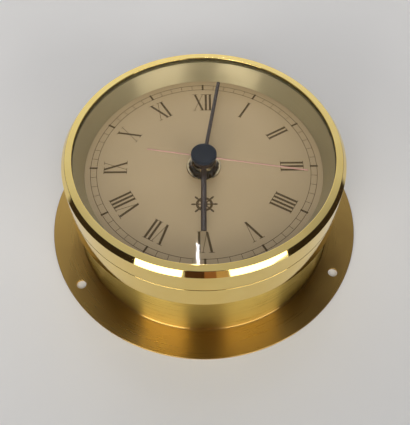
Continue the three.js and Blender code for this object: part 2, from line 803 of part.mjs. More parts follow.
function toSolid(geometry) {
  const bare = new THREE.BufferGeometry();
  bare.setAttribute("position", geometry.getAttribute("position"));
  bare.setIndex(geometry.getIndex());
  const merged = mergeVertices(bare, 1e-4);
  const vertProperties = new Float32Array(merged.getAttribute("position").array);
  const triVerts = new Uint32Array(merged.getIndex().array);
  return new wasm.Manifold(new wasm.Mesh({ numProp: 3, vertProperties, triVerts }));
}

function toGeometry(solid) {
  const mesh = solid.getMesh();
  const geometry = new THREE.BufferGeometry();
  geometry.setAttribute("position", new THREE.BufferAttribute(mesh.vertProperties, 3));
  geometry.setIndex(new THREE.BufferAttribute(mesh.triVerts, 1));
  geometry.computeVertexNormals();
  return geometry;
}

function fuse(first, ...others) {
  return toGeometry(others.reduce((solid, other) => solid.add(toSolid(other)), toSolid(first)));
}

function carve(base, ...tools) {
  return toGeometry(tools.reduce((solid, tool) => solid.subtract(toSolid(tool)), toSolid(base)));
}

function finish(color, roughness, metalness) {
  return new THREE.MeshStandardMaterial({ color, roughness, metalness });
}

function add(name, geometry, material) {
  const mesh = new THREE.Mesh(geometry, material);
  mesh.name = name;
  clock.add(mesh);
}
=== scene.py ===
"""Ship's clock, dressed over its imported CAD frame.

Every size is in millimetres in the frame's own axes: +Z out of the dial, +Y to twelve o'clock, and
the origin at the centre of the flange's back face. Meshes are scaled to metres as they are made.
"""

import logging
import math
from collections.abc import Callable, Iterator, Mapping, Sequence
from dataclasses import dataclass
from enum import Enum
from typing import Any

import bmesh
import bpy
from mathutils import Matrix, Vector


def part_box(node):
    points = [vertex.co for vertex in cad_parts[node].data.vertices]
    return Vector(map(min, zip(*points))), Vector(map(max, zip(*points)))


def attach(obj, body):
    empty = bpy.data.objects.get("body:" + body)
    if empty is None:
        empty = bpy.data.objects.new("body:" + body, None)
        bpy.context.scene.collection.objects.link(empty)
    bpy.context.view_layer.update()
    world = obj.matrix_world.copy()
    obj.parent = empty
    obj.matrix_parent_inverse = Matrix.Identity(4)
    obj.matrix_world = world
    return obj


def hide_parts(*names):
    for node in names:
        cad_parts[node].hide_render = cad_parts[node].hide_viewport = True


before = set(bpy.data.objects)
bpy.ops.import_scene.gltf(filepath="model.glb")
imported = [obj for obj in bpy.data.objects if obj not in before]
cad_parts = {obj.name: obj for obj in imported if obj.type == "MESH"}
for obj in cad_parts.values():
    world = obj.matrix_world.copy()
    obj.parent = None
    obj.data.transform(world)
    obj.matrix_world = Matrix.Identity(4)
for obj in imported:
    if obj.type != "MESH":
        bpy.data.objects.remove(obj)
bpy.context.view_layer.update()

log = logging.getLogger("ships_clock")

MM = 0.001  # a millimetre, in metres
ROUND = 256  # steps round a large turned piece
SMALL_ROUND = 96  # steps round a small one
SHARP_EDGE = math.radians(35)  # angle from which an edge is shaded sharp
FLAT_EDGE = math.radians(1)  # angle up to which two faces of a CAD copy become one
EASE_STEPS = 5  # steps of a rounded corner
HOLD = 0.06  # length beside a rounding over which the shading of a flat settles
SAME_POINT = 1e-8  # distance, in metres, below which points of a turned piece are one
SAME_CAD_POINT = 1e-7  # the same for a CAD copy
SLIVER = 1e-9  # size, in metres, below which a face of a turned piece is dropped
STRAIGHT_CHANGE = 0.05  # change of a straight finishing mark along itself, for each millimetre
ROUND_CHANGE = 0.8  # change of a round one, for each radian

Colour = tuple[float, float, float]
Point = tuple[float, float]
Place = tuple[float, float, float]
Outline = Sequence[Point]
Profile = Outline | Callable[[float], Outline]


class Grain(Enum):
    """Which way the marks of a metal's finishing run."""

    CIRCULAR = "circular"
    STRAIGHT = "straight"


class Stroke(Enum):
    """Weight of a numeral's stroke, as its width."""

    THICK = 1.05
    HAIR = 0.24


class Letter(Enum):
    """Roman letters, each with its width and its strokes.

    A stroke runs from its place along the letter's foot to its place along the head, both as shares
    of the width, with its weight.
    """

    I = (2.0, ((0.5, 0.5, Stroke.THICK),))
    V = (4.9, ((0.52, 0.12, Stroke.THICK), (0.52, 0.9, Stroke.HAIR)))
    X = (4.9, ((0.88, 0.12, Stroke.THICK), (0.1, 0.88, Stroke.HAIR)))

    @property
    def width(self) -> float:
        """Width that the letter takes in its numeral."""
        return self.value[0]

    @property
    def strokes(self) -> tuple[tuple[float, float, Stroke], ...]:
        """Strokes of the letter, from foot to head."""
        return self.value[1]


# Shader wiring


class Wire:
    """A node's output that takes part in Python arithmetic, one node for each operator."""

    def __init__(self, tree: "Tree", socket: bpy.types.NodeSocket) -> None:
        """Wraps a socket of a tree."""
        self.tree = tree
        self.socket = socket

    def _join(self, operation: str, left: "Term", right: "Term") -> "Wire":
        """Adds the node that combines two terms.

        Args:
            operation: Name of the Math or Vector Math operation.
            left: First term.
            right: Second term.

        Returns:
            The node's result.
        """
        kind, inputs = "ShaderNodeMath", {0: left, 1: right}
        if self.socket.type == "VECTOR":
            kind = "ShaderNodeVectorMath"
            if operation == "MULTIPLY" and not isinstance(right, Wire):
                operation, inputs = "SCALE", {"Vector": left, "Scale": right}
        return self.tree.node(kind, {"operation": operation}, inputs)

    def __add__(self, other: "Term") -> "Wire":
        """Sum, with either term first."""
        return self._join("ADD", self, other)

    def __sub__(self, other: "Term") -> "Wire":
        """Difference."""
        return self._join("SUBTRACT", self, other)

    def __rsub__(self, other: "Term") -> "Wire":
        """Difference with the other term first."""
        return self._join("SUBTRACT", other, self)

    def __mul__(self, other: "Term") -> "Wire":
        """Product, with either term first."""
        return self._join("MULTIPLY", self, other)

    def __truediv__(self, other: "Term") -> "Wire":
        """Quotient."""
        return self._join("DIVIDE", self, other)

    def __rtruediv__(self, other: "Term") -> "Wire":
        """Quotient with the other term first."""
        return self._join("DIVIDE", other, self)

    def __pow__(self, other: "Term") -> "Wire":
        """Power."""
        return self._join("POWER", self, other)

    def __rpow__(self, other: "Term") -> "Wire":
        """Power with the other term first."""
        return self._join("POWER", other, self)

    __radd__ = __add__
    __rmul__ = __mul__

    def swing(self, amount: float, middle: float = 0.5) -> "Wire":
        """How far the value is from a middle, times an amount."""
        return (self - middle) * amount

    def above(self, edge: float) -> "Wire":
        """One where the value is over an edge, and nought elsewhere."""
        return self._join("GREATER_THAN", self, edge)

    def sine(self) -> "Wire":
        """Sine of the value."""
        return self.tree.node("ShaderNodeMath", {"operation": "SINE"}, {0: self})

    def bearing(self, ahead: "Wire") -> "Wire":
        """Angle from straight ahead, in degrees, of a point this far to the right."""
        return self._join("ARCTAN2", self, ahead) * math.degrees(1)

    def size(self) -> "Wire":
        """The value without its sign."""
        return self.tree.node("ShaderNodeMath", {"operation": "ABSOLUTE"}, {0: self})

    def rise(self, low: float, high: float) -> "Wire":
        """Nought below one level and one above another, with a smooth rise between them."""
        inputs = {"Value": self, "From Min": low, "From Max": high}
        return self.tree.node("ShaderNodeMapRange", {"interpolation_type": "SMOOTHSTEP"}, inputs)


Term = Wire | float | Sequence[float]


class Tree:
    """Node tree of one material or of the world, built through one method."""

    def __init__(self, owner: bpy.types.Material | bpy.types.World) -> None:
        """Empties the owner's node tree.

        Args:
            owner: Material or world that the tree belongs to.
        """
        owner.use_nodes = True
        self.nodes = owner.node_tree.nodes
        self.links = owner.node_tree.links
        self.nodes.clear()

    def node(
        self,
        kind: str,
        settings: Mapping[str, Any] | None = None,
        inputs: Mapping[str | int, Term] | None = None,
        output: str | int = 0,
    ) -> Wire:
        """Adds a node.

        Args:
            kind: Blender's name for the type of node.
            settings: Properties, which are set first. A ramp's stops are pairs of place and colour.
            inputs: Values or links of its sockets, by name or by number.
            output: Socket that is handed back, by name or by number.

        Returns:
            The chosen output.
        """
        made = self.nodes.new(kind)
        for name, value in (settings or {}).items():
            if name == "stops":
                self._set_stops(made.color_ramp, value)
            else:
                setattr(made, name, value)
        for name, value in (inputs or {}).items():
            if isinstance(value, Wire):
                self.links.new(value.socket, made.inputs[name])
            else:
                made.inputs[name].default_value = value
        return Wire(self, made.outputs[output])

    @staticmethod
    def _set_stops(ramp: bpy.types.ColorRamp, stops: Sequence[tuple[float, Colour]]) -> None:
        """Gives a ramp its stops.

        Args:
            ramp: The ramp.
            stops: Pairs of place and colour.
        """
        while len(ramp.elements) < len(stops):
            ramp.elements.new(1.0)
        for element, (place, colour) in zip(ramp.elements, stops):
            element.position = place
            element.color = (*colour, 1.0)

    def place(self) -> Wire:
        """Place on the piece in millimetres, which moves with the piece."""
        return self.node("ShaderNodeTexCoord", output="Object") * (1 / MM)

    def split(self, vector: Wire) -> tuple[Wire, Wire, Wire]:
        """The three parts of a vector."""
        made = self.node("ShaderNodeSeparateXYZ", {}, {0: vector}).socket.node
        return tuple(Wire(self, output) for output in made.outputs)

    def join(self, x: Term, y: Term, z: Term) -> Wire:
        """A vector of three values."""
        return self.node("ShaderNodeCombineXYZ", {}, {0: x, 1: y, 2: z})

    def noise(self, vector: Wire, scale: float, detail: float = 2.0, w: Term | None = None) -> Wire:
        """Noise about one half.

        Args:
            vector: Where it is read.
            scale: Spots for each unit of the vector.
            detail: Octaves of finer noise.
            w: A fourth coordinate, if there is one.

        Returns:
            The noise's value, from nought to one.
        """
        inputs = {"Vector": vector, "Scale": scale, "Detail": detail}
        if w is None:
            return self.node("ShaderNodeTexNoise", {}, inputs, "Fac")
        return self.node("ShaderNodeTexNoise", {"noise_dimensions": "4D"}, {**inputs, "W": w}, "Fac")

    def ramp(self, factor: Wire, stops: Sequence[tuple[float, Colour]]) -> Wire:
        """A colour read from stops."""
        return self.node("ShaderNodeValToRGB", {"stops": stops}, {"Fac": factor})

    def mix(self, factor: Term, first: "Wire | Colour", second: "Wire | Colour") -> Wire:
        """A colour between two colours."""
        first, second = (c if isinstance(c, Wire) else (*c, 1.0) for c in (first, second))
        return self.node("ShaderNodeMix", {"data_type": "RGBA"}, {0: factor, 6: first, 7: second}, 2)

    def streaks(self, grain: Grain, pitch: float) -> Wire:
        """Fine marks that run round the Z axis, or along X.

        Args:
            grain: Which way the marks run.
            pitch: Width of a mark.

        Returns:
            A value about one half that changes quickly across the marks and slowly along them.
        """
        x, y, z = self.split(self.place())
        if grain is Grain.STRAIGHT:
            along = self.join(x * STRAIGHT_CHANGE, y / pitch, z / pitch)
            return self.noise(along, scale=1.0, detail=3.0)
        flat = self.join(x, y, 0.0)
        radius = self.node("ShaderNodeVectorMath", {"operation": "LENGTH"}, {0: flat}, "Value")
        around = self.join(ROUND_CHANGE * x / radius, ROUND_CHANGE * y / radius, radius / pitch)
        return self.noise(around, scale=1.0, detail=2.0, w=z / pitch)

    def bump(self, height: Wire, depth: float) -> Wire:
        """A normal from a height, whose full swing is a depth in millimetres."""
        return self.node("ShaderNodeBump", {}, {"Height": height, "Distance": depth * MM})

    def surface(self, **inputs: Term) -> Wire:
        """Adds a Principled shader.

        Args:
            **inputs: Values or links of its sockets, with their names in Python's spelling.

        Returns:
            The shader.
        """
        sockets = {name.replace("_", " ").title().replace("Ior", "IOR"): v for name, v in inputs.items()}
        colour = sockets.get("Base Color")
        if colour is not None and not isinstance(colour, Wire):
            sockets["Base Color"] = (*colour, 1.0)
        return self.node("ShaderNodeBsdfPrincipled", {}, sockets)

    def show(self, shader: Wire, kind: str = "ShaderNodeOutputMaterial") -> None:
        """Makes a shader the surface of the material, or of the world with its kind of output."""
        self.links.new(shader.socket, self.nodes.new(kind).inputs["Surface"])


# Finishes


@dataclass(frozen=True)
class Finish:
    """A procedural material.

    Attributes:
        name: Name of the material.
    """

    name: str

    def material(self) -> bpy.types.Material:
        """Makes the material the first time that it is asked for.

        Returns:
            The material.
        """
        found = bpy.data.materials.get(self.name)
        if found is None:
            found = bpy.data.materials.new(self.name)
            tree = Tree(found)
            tree.show(self.shade(tree))
        return found

    def shade(self, tree: Tree) -> Wire:
        """Builds the shader; each finish has its own."""
        raise NotImplementedError


@dataclass(frozen=True)
class WorkedBrass(Finish):
    """Brass with the marks of brushing or turning.

    Attributes:
        light: Colour on the ridges of the marks.
        deep: Colour in the grooves.
        roughness: Mean roughness.
        stretch: How far the marks stretch a highlight across themselves.
        pitch: Width of a mark.
        depth: Depth of a mark.
        metal: Share of the surface that shines as metal.
    """

    light: Colour
    deep: Colour
    roughness: float = 0.3
    stretch: float = 1.0
    pitch: float = 0.25
    depth: float = 0.02
    metal: float = 1.0

    def shade(self, tree: Tree) -> Wire:
        """Brass whose colour, roughness and height follow its marks, with a slow cloudiness.

        Args:
            tree: Tree of the material.

        Returns:
            The shader.
        """
        marks = tree.streaks(Grain.CIRCULAR, self.pitch)
        cloud = tree.noise(tree.place(), scale=0.06, detail=3.0)
        tone = marks.swing(1.6) + cloud.swing(0.5) + 0.5
        return tree.surface(
            base_color=self.add_painted_shade(tree, tree.mix(tone, self.deep, self.light), cloud),
            metallic=self.metal,
            roughness=marks.swing(0.16) + cloud.swing(0.08) + self.roughness,
            anisotropic=self.stretch,
            anisotropic_rotation=0.25,
            normal=tree.bump(marks, self.depth),
        )

    def add_painted_shade(self, tree: Tree, colour: Wire, cloud: Wire) -> Wire:
        """The colour as it is: this brass has no painted shade."""
        return colour


@dataclass(frozen=True)
class CaseBrass(WorkedBrass):
    """Brushed brass of the case, with painted shade low down, at the foot of the drum and on the flange.

    Attributes:
        painted_foot_shade: Colour of the painted shade.
        brown: Colour of the painted shade where it is deepest, to the right.
        clean: Heights between which the painted shade thins out.
        cover: Share of the brass that it covers at least, and what its clouds add.
        spread: Places from left to right between which it browns.
    """

    # Colours and reach of the painted shade at the foot of the case.
    painted_foot_shade: Colour = (0.66, 0.42, 0.13)
    brown: Colour = (0.4, 0.245, 0.08)
    clean: Point = (0.6, 4.0)
    cover: Point = (0.6, 0.5)
    spread: Point = (-5.0, 55.0)

    def add_painted_shade(self, tree: Tree, colour: Wire, cloud: Wire) -> Wire:
        """Paints shade into the colour near the foot of the case, browner to the right.

        Args:
            tree: Tree of the material.
            colour: Colour of the clean brass.
            cloud: Slow noise that the painted shade follows.

        Returns:
            The colour with its painted shade.
        """
        x, _, z = tree.split(tree.place())
        least, more = self.cover
        # Painted shade: darker and browner at the foot of the drum and on the flange, browner still to
        # the right.
        share = (1 - z.rise(*self.clean)) * (cloud * more + least)
        return tree.mix(share, colour, tree.mix(x.rise(*self.spread), self.painted_foot_shade, self.brown))


@dataclass(frozen=True)
class PolishedBrass(Finish):
    """Buffed and lacquered brass.

    Attributes:
        bright: Colour of clean metal.
        warm: Colour where the lacquer has yellowed.
        roughness: Roughness of the buffed surface.
    """

    bright: Colour = (0.92, 0.715, 0.265)
    warm: Colour = (0.88, 0.655, 0.215)
    roughness: float = 0.05

    def shade(self, tree: Tree) -> Wire:
        """Nearly a mirror, with faint buffing lines and handling haze.

        Args:
            tree: Tree of the material.

        Returns:
            The shader.
        """
        lines = tree.streaks(Grain.CIRCULAR, pitch=0.5)
        haze = tree.noise(tree.place(), scale=0.09, detail=4.0)
        return tree.surface(
            base_color=tree.mix(haze.swing(1.8) + 0.4, self.bright, self.warm),
            metallic=1.0,
            roughness=lines.swing(0.05) + haze.swing(0.06) + self.roughness,
            normal=tree.bump(lines, depth=0.0006),
        )


@dataclass(frozen=True)
class PlainMetal(Finish):
    """Steel, nickel or magnet with faint rolling marks.

    Attributes:
        colour: Colour of the metal.
        dull: Colour where it has dulled.
        roughness: Mean roughness.
    """

    colour: Colour
    dull: Colour
    roughness: float = 0.3

    def shade(self, tree: Tree) -> Wire:
        """Metal with straight rolling marks and dull patches.

        Args:
            tree: Tree of the material.

        Returns:
            The shader.
        """
        marks = tree.streaks(Grain.STRAIGHT, pitch=0.15)
        patch = tree.noise(tree.place(), scale=0.35, detail=3.0)
        return tree.surface(
            base_color=tree.mix(patch.swing(1.5, middle=0.35), self.colour, self.dull),
            metallic=1.0,
            roughness=marks.swing(0.2) + self.roughness,
            normal=tree.bump(marks, depth=0.002),
        )


@dataclass(frozen=True)
class Moulded(Finish):
    """Moulded plastic or rubber.

    Attributes:
        colour: Colour of the material.
        wear_and_shade: Colour of its handled spots.
        roughness: Mean roughness.
        spot: Spots of the mould's grain for each millimetre.
        depth: Depth of the grain.
        gloss: Level of its reflection, one half for common plastic.
    """

    colour: Colour
    wear_and_shade: Colour
    roughness: float = 0.48
    spot: float = 3.5
    depth: float = 0.012
    gloss: float = 0.5

    def shade(self, tree: Tree) -> Wire:
        """Plastic with a fine moulded grain and slight mottling.

        Args:
            tree: Tree of the material.

        Returns:
            The shader.
        """
        place = tree.place()
        grain = tree.noise(place, scale=self.spot, detail=2.0)
        mottle = tree.noise(place, scale=0.12, detail=4.0)
        return tree.surface(
            base_color=tree.mix(mottle.swing(1.4, middle=0.4), self.colour, self.wear_and_shade),
            roughness=grain.swing(0.25) + mottle.swing(0.15) + self.roughness,
            specular_ior_level=self.gloss,
            normal=tree.bump(grain, self.depth),
        )


@dataclass(frozen=True)
class FadingCard(Finish):
    """Dark card that fades out towards one end.

    Attributes:
        clear: Angle of its faded end from straight ahead, to the right, in degrees.
        solid: Angle from which it is solid.
        colour: Colour of the card.
        wear_and_shade: Colour of its scuffed spots.
    """

    clear: float
    solid: float
    colour: Colour = (0.03, 0.018, 0.012)
    wear_and_shade: Colour = (0.045, 0.028, 0.019)

    def shade(self, tree: Tree) -> Wire:
        """Matt card, thinned out by its place round the clock.

        Args:
            tree: Tree of the material.

        Returns:
            The shader.
        """
        place = tree.place()
        x, y, _ = tree.split(place)
        wear = tree.noise(place, scale=0.05, detail=3.0)
        return tree.surface(
            base_color=tree.mix(wear, self.colour, self.wear_and_shade),
            roughness=wear.swing(0.15) + 0.8,
            alpha=x.bearing(y * -1).rise(self.clear, self.solid),
        )


@dataclass(frozen=True)
class HandPaint(Finish):
    """Baked paint on a thin metal hand.

    Attributes:
        colour: Colour of the paint.
        edge: Colour where the coat is thin.
        roughness: Mean roughness.
    """

    colour: Colour
    edge: Colour
    roughness: float = 0.3

    def shade(self, tree: Tree) -> Wire:
        """Paint with a faint orange-peel surface and a thin clear coat.

        Args:
            tree: Tree of the material.

        Returns:
            The shader.
        """
        place = tree.place()
        peel = tree.noise(place, scale=2.2, detail=2.0)
        thin = tree.noise(place, scale=0.4, detail=3.0)
        return tree.surface(
            base_color=tree.mix(thin.swing(2.0, middle=0.42), self.colour, self.edge),
            roughness=peel.swing(0.2) + self.roughness,
            coat_weight=0.3,
            coat_roughness=0.15,
            normal=tree.bump(peel, depth=0.006),
        )


@dataclass(frozen=True)
class DialFinish(Finish):
    """Satin champagne lacquer on the dial.

    Attributes:
        light: Colour of the paler grains.
        deep: Colour of the darker grains.
        sheen: Share of the surface that shines as metal.
    """

    light: Colour = (0.463, 0.346, 0.198)
    deep: Colour = (0.389, 0.287, 0.155)
    sheen: float = 0.35

    def shade(self, tree: Tree) -> Wire:
        """Fine metallic grains under lacquer, with slow clouds of tone.

        Args:
            tree: Tree of the material.

        Returns:
            The shader.
        """
        place = tree.place()
        grain = tree.noise(place, scale=6.0, detail=2.0)
        cloud = tree.noise(place, scale=0.035, detail=3.0)
        tone = grain.swing(1.2) + cloud.swing(0.9) + 0.5
        return tree.surface(
            base_color=tree.mix(tone, self.deep, self.light),
            metallic=self.sheen,
            roughness=grain.swing(0.18) + 0.46,
            normal=tree.bump(grain, depth=0.003),
        )


@dataclass(frozen=True)
class Ink(Finish):
    """Printed ink.

    Attributes:
        colour: Colour of a full coat.
        thin: Colour where the screen left it thin.
    """

    colour: Colour = (0.08, 0.05, 0.018)
    thin: Colour = (0.14, 0.092, 0.042)

    def shade(self, tree: Tree) -> Wire:
        """Ink with the small unevenness of screen printing.

        Args:
            tree: Tree of the material.

        Returns:
            The shader.
        """
        speck = tree.noise(tree.place(), scale=4.0, detail=3.0)
        return tree.surface(
            base_color=tree.mix(speck.swing(2.0, middle=0.45), self.colour, self.thin),
            roughness=speck.swing(0.3) + 0.5,
            specular_ior_level=0.15,
            normal=tree.bump(speck, depth=0.004),
        )


@dataclass(frozen=True)
class ClearGlass(Finish):
    """Flat window glass with a coat that reflects little, which lets the lamps through to the dial.

    Attributes:
        polish: Weight of its reflection.
        tint: Colour that the glass passes.
    """

    polish: float = 0.12
    tint: Colour = (0.985, 0.992, 0.988)

    def shade(self, tree: Tree) -> Wire:
        """Glass with a faint haze of fingermarks in its polish.

        Args:
            tree: Tree of the material.

        Returns:
            The shader.
        """
        smear = tree.noise(tree.place(), scale=0.05, detail=4.0)
        glass = tree.surface(
            base_color=self.tint,
            roughness=smear.swing(0.02) + 0.012,
            ior=1.0,
            transmission_weight=1.0,
            coat_weight=self.polish,
            coat_roughness=0.012,
        )
        clear = tree.node("ShaderNodeBsdfTransparent", {}, {"Color": (*self.tint, 1.0)})
        from_lamp = tree.node("ShaderNodeLightPath", output="Is Shadow Ray")
        return tree.node("ShaderNodeMixShader", {}, {0: from_lamp, 1: glass, 2: clear})


@dataclass(frozen=True)
class WoundCopper(Finish):
    """Enamelled wire wound round a bobbin that lies along X.

    Attributes:
        wire: Diameter of the wire.
        colour: Colour of the enamel over copper.
        gap: Colour between the turns.
    """

    wire: float = 0.18
    colour: Colour = (0.72, 0.3, 0.13)
    gap: Colour = (0.25, 0.08, 0.03)

    def shade(self, tree: Tree) -> Wire:
        """Close turns of wire, each a small ridge.

        Args:
            tree: Tree of the material.

        Returns:
            The shader.
        """
        x, _, _ = tree.split(tree.place())
        turn = (x * (2 * math.pi / self.wire)).sine() * 0.5 + 0.5
        return tree.surface(
            base_color=tree.mix(turn ** 0.5, self.gap, self.colour),
            metallic=0.9,
            roughness=0.42 - turn * 0.14,
            normal=tree.bump(turn, self.wire / 3),
        )


@dataclass(frozen=True)
class Laminate(Finish):
    """Glass-fibre circuit board.

    Attributes:
        weave: Pitch of the glass cloth.
        colour: Colour of the mask over the laminate.
        thread: Colour where a thread lies high.
    """

    weave: float = 0.6
    colour: Colour = (0.02, 0.09, 0.04)
    thread: Colour = (0.045, 0.16, 0.075)

    def shade(self, tree: Tree) -> Wire:
        """Solder mask over the weave of the cloth.

        Args:
            tree: Tree of the material.

        Returns:
            The shader.
        """
        x, y, _ = tree.split(tree.place())
        turn = 2 * math.pi / self.weave
        cloth = (x * turn).sine() * (y * turn).sine() * 0.5 + 0.5
        return tree.surface(
            base_color=tree.mix(cloth, self.colour, self.thread),
            roughness=0.4 - cloth * 0.12,
            normal=tree.bump(cloth, depth=0.02),
        )


@dataclass(frozen=True)
class CellJacket(Finish):
    """Plain printed jacket of a dry cell that lies along X, with bare steel ends.

    Attributes:
        length: Length of the jacket.
        band: Length of the darker band at the positive end.
        jacket: Colour of the jacket.
        dark: Colour of the band.
        steel: Colour of the ends.
    """

    length: float
    band: float = 9.0
    jacket: Colour = (0.36, 0.38, 0.4)
    dark: Colour = (0.045, 0.055, 0.075)
    steel: Colour = (0.62, 0.62, 0.6)

    def shade(self, tree: Tree) -> Wire:
        """Jacket, band and ends told apart by their place along the cell.

        Args:
            tree: Tree of the material.

        Returns:
            The shader.
        """
        x, _, _ = tree.split(tree.place())
        half = self.length / 2
        scuff = tree.noise(tree.place(), scale=0.5, detail=4.0)
        banded = x.above(half - self.band)
        jacket = tree.mix(banded, self.jacket, self.dark)
        bare = x.above(half) + (1 - x.above(-half))
        return tree.surface(
            base_color=tree.mix(bare, jacket, self.steel),
            metallic=bare * 0.7 + 0.3,
            roughness=scuff.swing(0.25) + 0.34,
            normal=tree.bump(scuff, depth=0.01),
        )


@dataclass(frozen=True)
class TableTop(Finish):
    """Pale matt table, with painted light towards its back and left and painted shade towards its front.

    Attributes:
        painted_lit: Colour of the paint at the back, lightened as painted light.
        wear_and_shade: Colour of the paint at the front, darkened as painted shade.
        slope: What a step to the right takes from a place along the table, and a step back adds.
        reach: Places along the table where the painted shade is full and where the painted light is full.
    """

    painted_lit: Colour = (0.95, 0.94, 0.925)
    wear_and_shade: Colour = (0.645, 0.645, 0.645)
    slope: Point = (0.3, 0.8)
    reach: Point = (-190.0, 190.0)

    def shade(self, tree: Tree) -> Wire:
        """Matt paint with slow, faint clouds, lighter towards the back and left as painted light.

        Args:
            tree: Tree of the material.

        Returns:
            The shader.
        """
        place = tree.place()
        x, y, _ = tree.split(place)
        cloud = tree.noise(place, scale=0.012, detail=3.0)
        right, back = self.slope
        # Painted light and shade: the table is lighter towards the back and left, darker towards the
        # front.
        lit_share = (y * back - x * right).rise(*self.reach) + cloud.swing(0.2)
        return tree.surface(
            base_color=tree.mix(lit_share, self.wear_and_shade, self.painted_lit),
            roughness=cloud.swing(0.1) + 0.7,
            specular_ior_level=0.2,
        )


BRUSHED_BRASS = CaseBrass("brushed brass", light=(0.77, 0.57, 0.155), deep=(0.65, 0.45, 0.1))
REFLECTOR_BRASS = WorkedBrass(
    "satin brass reflector", light=(0.413, 0.344, 0.196), deep=(0.337, 0.274, 0.148),
    roughness=0.36, metal=0.65,
)
TURNED_BRASS = WorkedBrass(
    "turned brass", light=(0.72, 0.55, 0.28), deep=(0.52, 0.38, 0.17), roughness=0.17, stretch=0.3
)
# Turned brass darkened as painted shade, for the nut that sits under the cap and the hands.
SHADED_NUT_BRASS = WorkedBrass(
    "nut in painted shade", light=(0.44, 0.37, 0.27), deep=(0.26, 0.21, 0.145), roughness=0.17, stretch=0.3
)
# Turned brass darkened as painted shade, for the washer that lies under the nut and the cap.
SHADED_WASHER_BRASS = WorkedBrass(
    "washer in painted shade", light=(0.6, 0.49, 0.31), deep=(0.44, 0.35, 0.2), roughness=0.2, stretch=0.3
)
POLISHED_BRASS = PolishedBrass("polished brass")
DIAL_FINISH = DialFinish("champagne dial")
DIAL_INK = Ink("dial ink")
GLASS = ClearGlass("clear glass")
SEAL = Moulded("olive seal", (0.06, 0.047, 0.016), (0.085, 0.066, 0.026), roughness=0.6)
RUBBER = Moulded("black rubber", (0.018, 0.017, 0.016), (0.035, 0.034, 0.032), roughness=0.75)
BLACK_PLASTIC = Moulded("black plastic", (0.016, 0.016, 0.018), (0.032, 0.032, 0.034))
WHITE_PLASTIC = Moulded("white plastic", (0.74, 0.72, 0.66), (0.66, 0.63, 0.55), roughness=0.4)
CAP_PLASTIC = Moulded(
    "cap plastic", (0.0085, 0.0105, 0.015), (0.0125, 0.015, 0.021),
    roughness=0.3, spot=2.0, depth=0.006, gloss=0.2,
)
LEFT_CARD = FadingCard("left card", clear=-96.5, solid=-91.5)
RIGHT_CARD = FadingCard("right card", clear=104.0, solid=98.0)
BROWN_CARD = Moulded("brown card", (0.11, 0.04, 0.014), (0.09, 0.033, 0.012), roughness=0.8)
TAN_CARD = Moulded("tan card", (0.5, 0.22, 0.11), (0.42, 0.185, 0.09), roughness=0.8)
STRAW_CARD = Moulded("straw card", (0.9, 0.62, 0.36), (0.84, 0.56, 0.31), roughness=0.8)
CHIP_RESIN = Moulded("chip resin", (0.02, 0.02, 0.021), (0.04, 0.039, 0.037), roughness=0.55)
BLACK_PAINT = HandPaint("black hand paint", (0.028, 0.016, 0.009), (0.045, 0.028, 0.017))
RED_PAINT = HandPaint("red hand paint", (0.36, 0.185, 0.14), (0.4, 0.225, 0.165), roughness=0.5)
STEEL = PlainMetal("bare steel", (0.56, 0.57, 0.58), (0.4, 0.41, 0.42))
NICKEL = PlainMetal("nickel plate", (0.66, 0.63, 0.57), (0.52, 0.49, 0.43), roughness=0.24)
MAGNET = PlainMetal("magnet", (0.1, 0.1, 0.105), (0.06, 0.06, 0.065), roughness=0.45)
COPPER = WoundCopper("copper wire")
LAMINATE = Laminate("board laminate")
TABLE = TableTop("pale table")


# Mesh making


@dataclass(frozen=True)
class Corner:
    """A corner of a turned profile.

    Attributes:
        r: Distance from the axis.
        z: Height.
        ease: Length of each side that its rounding takes up.
    """

    r: float
    z: float
    ease: float = 0.0


@dataclass(frozen=True)
class Span:
    """Reach of a round CAD node about the Z axis.

    Attributes:
        radius: Outer radius.
        foot: Lowest height.
        top: Highest height.
    """

    radius: float
    foot: float
    top: float

    @classmethod
    def of(cls, node: str) -> "Span":
        """The span of a node of the frame.

        Args:
            node: Name of the node.

        Returns:
            Its span in millimetres.
        """
        low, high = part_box(node)
        return cls(high.x / MM, low.z / MM, high.z / MM)


def eased(corners: Sequence[Corner], hold: float = 0.0) -> list[Point]:
    """Rounds the corners of a closed outline.

    Args:
        corners: Corners in order.
        hold: Length beside a rounding over which the shading of a flat settles, if there is one.

    Returns:
        Points of the outline, with a short curve at each corner that has an ease.
    """
    points: list[Point] = []
    for before, corner, after in zip([corners[-1], *corners], corners, [*corners[1:], corners[0]]):
        at = Vector((corner.r, corner.z))
        if corner.ease == 0.0:
            points.append(tuple(at))
            continue
        backward = (Vector((before.r, before.z)) - at).normalized()
        forward = (Vector((after.r, after.z)) - at).normalized()
        come, leave = at + backward * corner.ease, at + forward * corner.ease
        if hold:
            points.append(tuple(come + backward * hold))
        for step in range(EASE_STEPS + 1):
            share = step / EASE_STEPS
            points.append(tuple(come.lerp(at, share).lerp(at.lerp(leave, share), share)))
        if hold:
            points.append(tuple(leave + forward * hold))
    return points


def finish_mesh(name: str, mesh: bmesh.types.BMesh) -> bpy.types.Object:
    """Turns mesh data into an object with smooth faces and sharp corners.

    Args:
        name: Name of the piece.
        mesh: Mesh in metres, which is freed.

    Returns:
        The new object.
    """
    bmesh.ops.recalc_face_normals(mesh, faces=mesh.faces)
    data = bpy.data.meshes.new(name)
    mesh.to_mesh(data)
    mesh.free()
    data.polygons.foreach_set("use_smooth", [True] * len(data.polygons))
    data.set_sharp_from_angle(angle=SHARP_EDGE)
    piece = bpy.data.objects.new(name, data)
    bpy.context.scene.collection.objects.link(piece)
    return piece


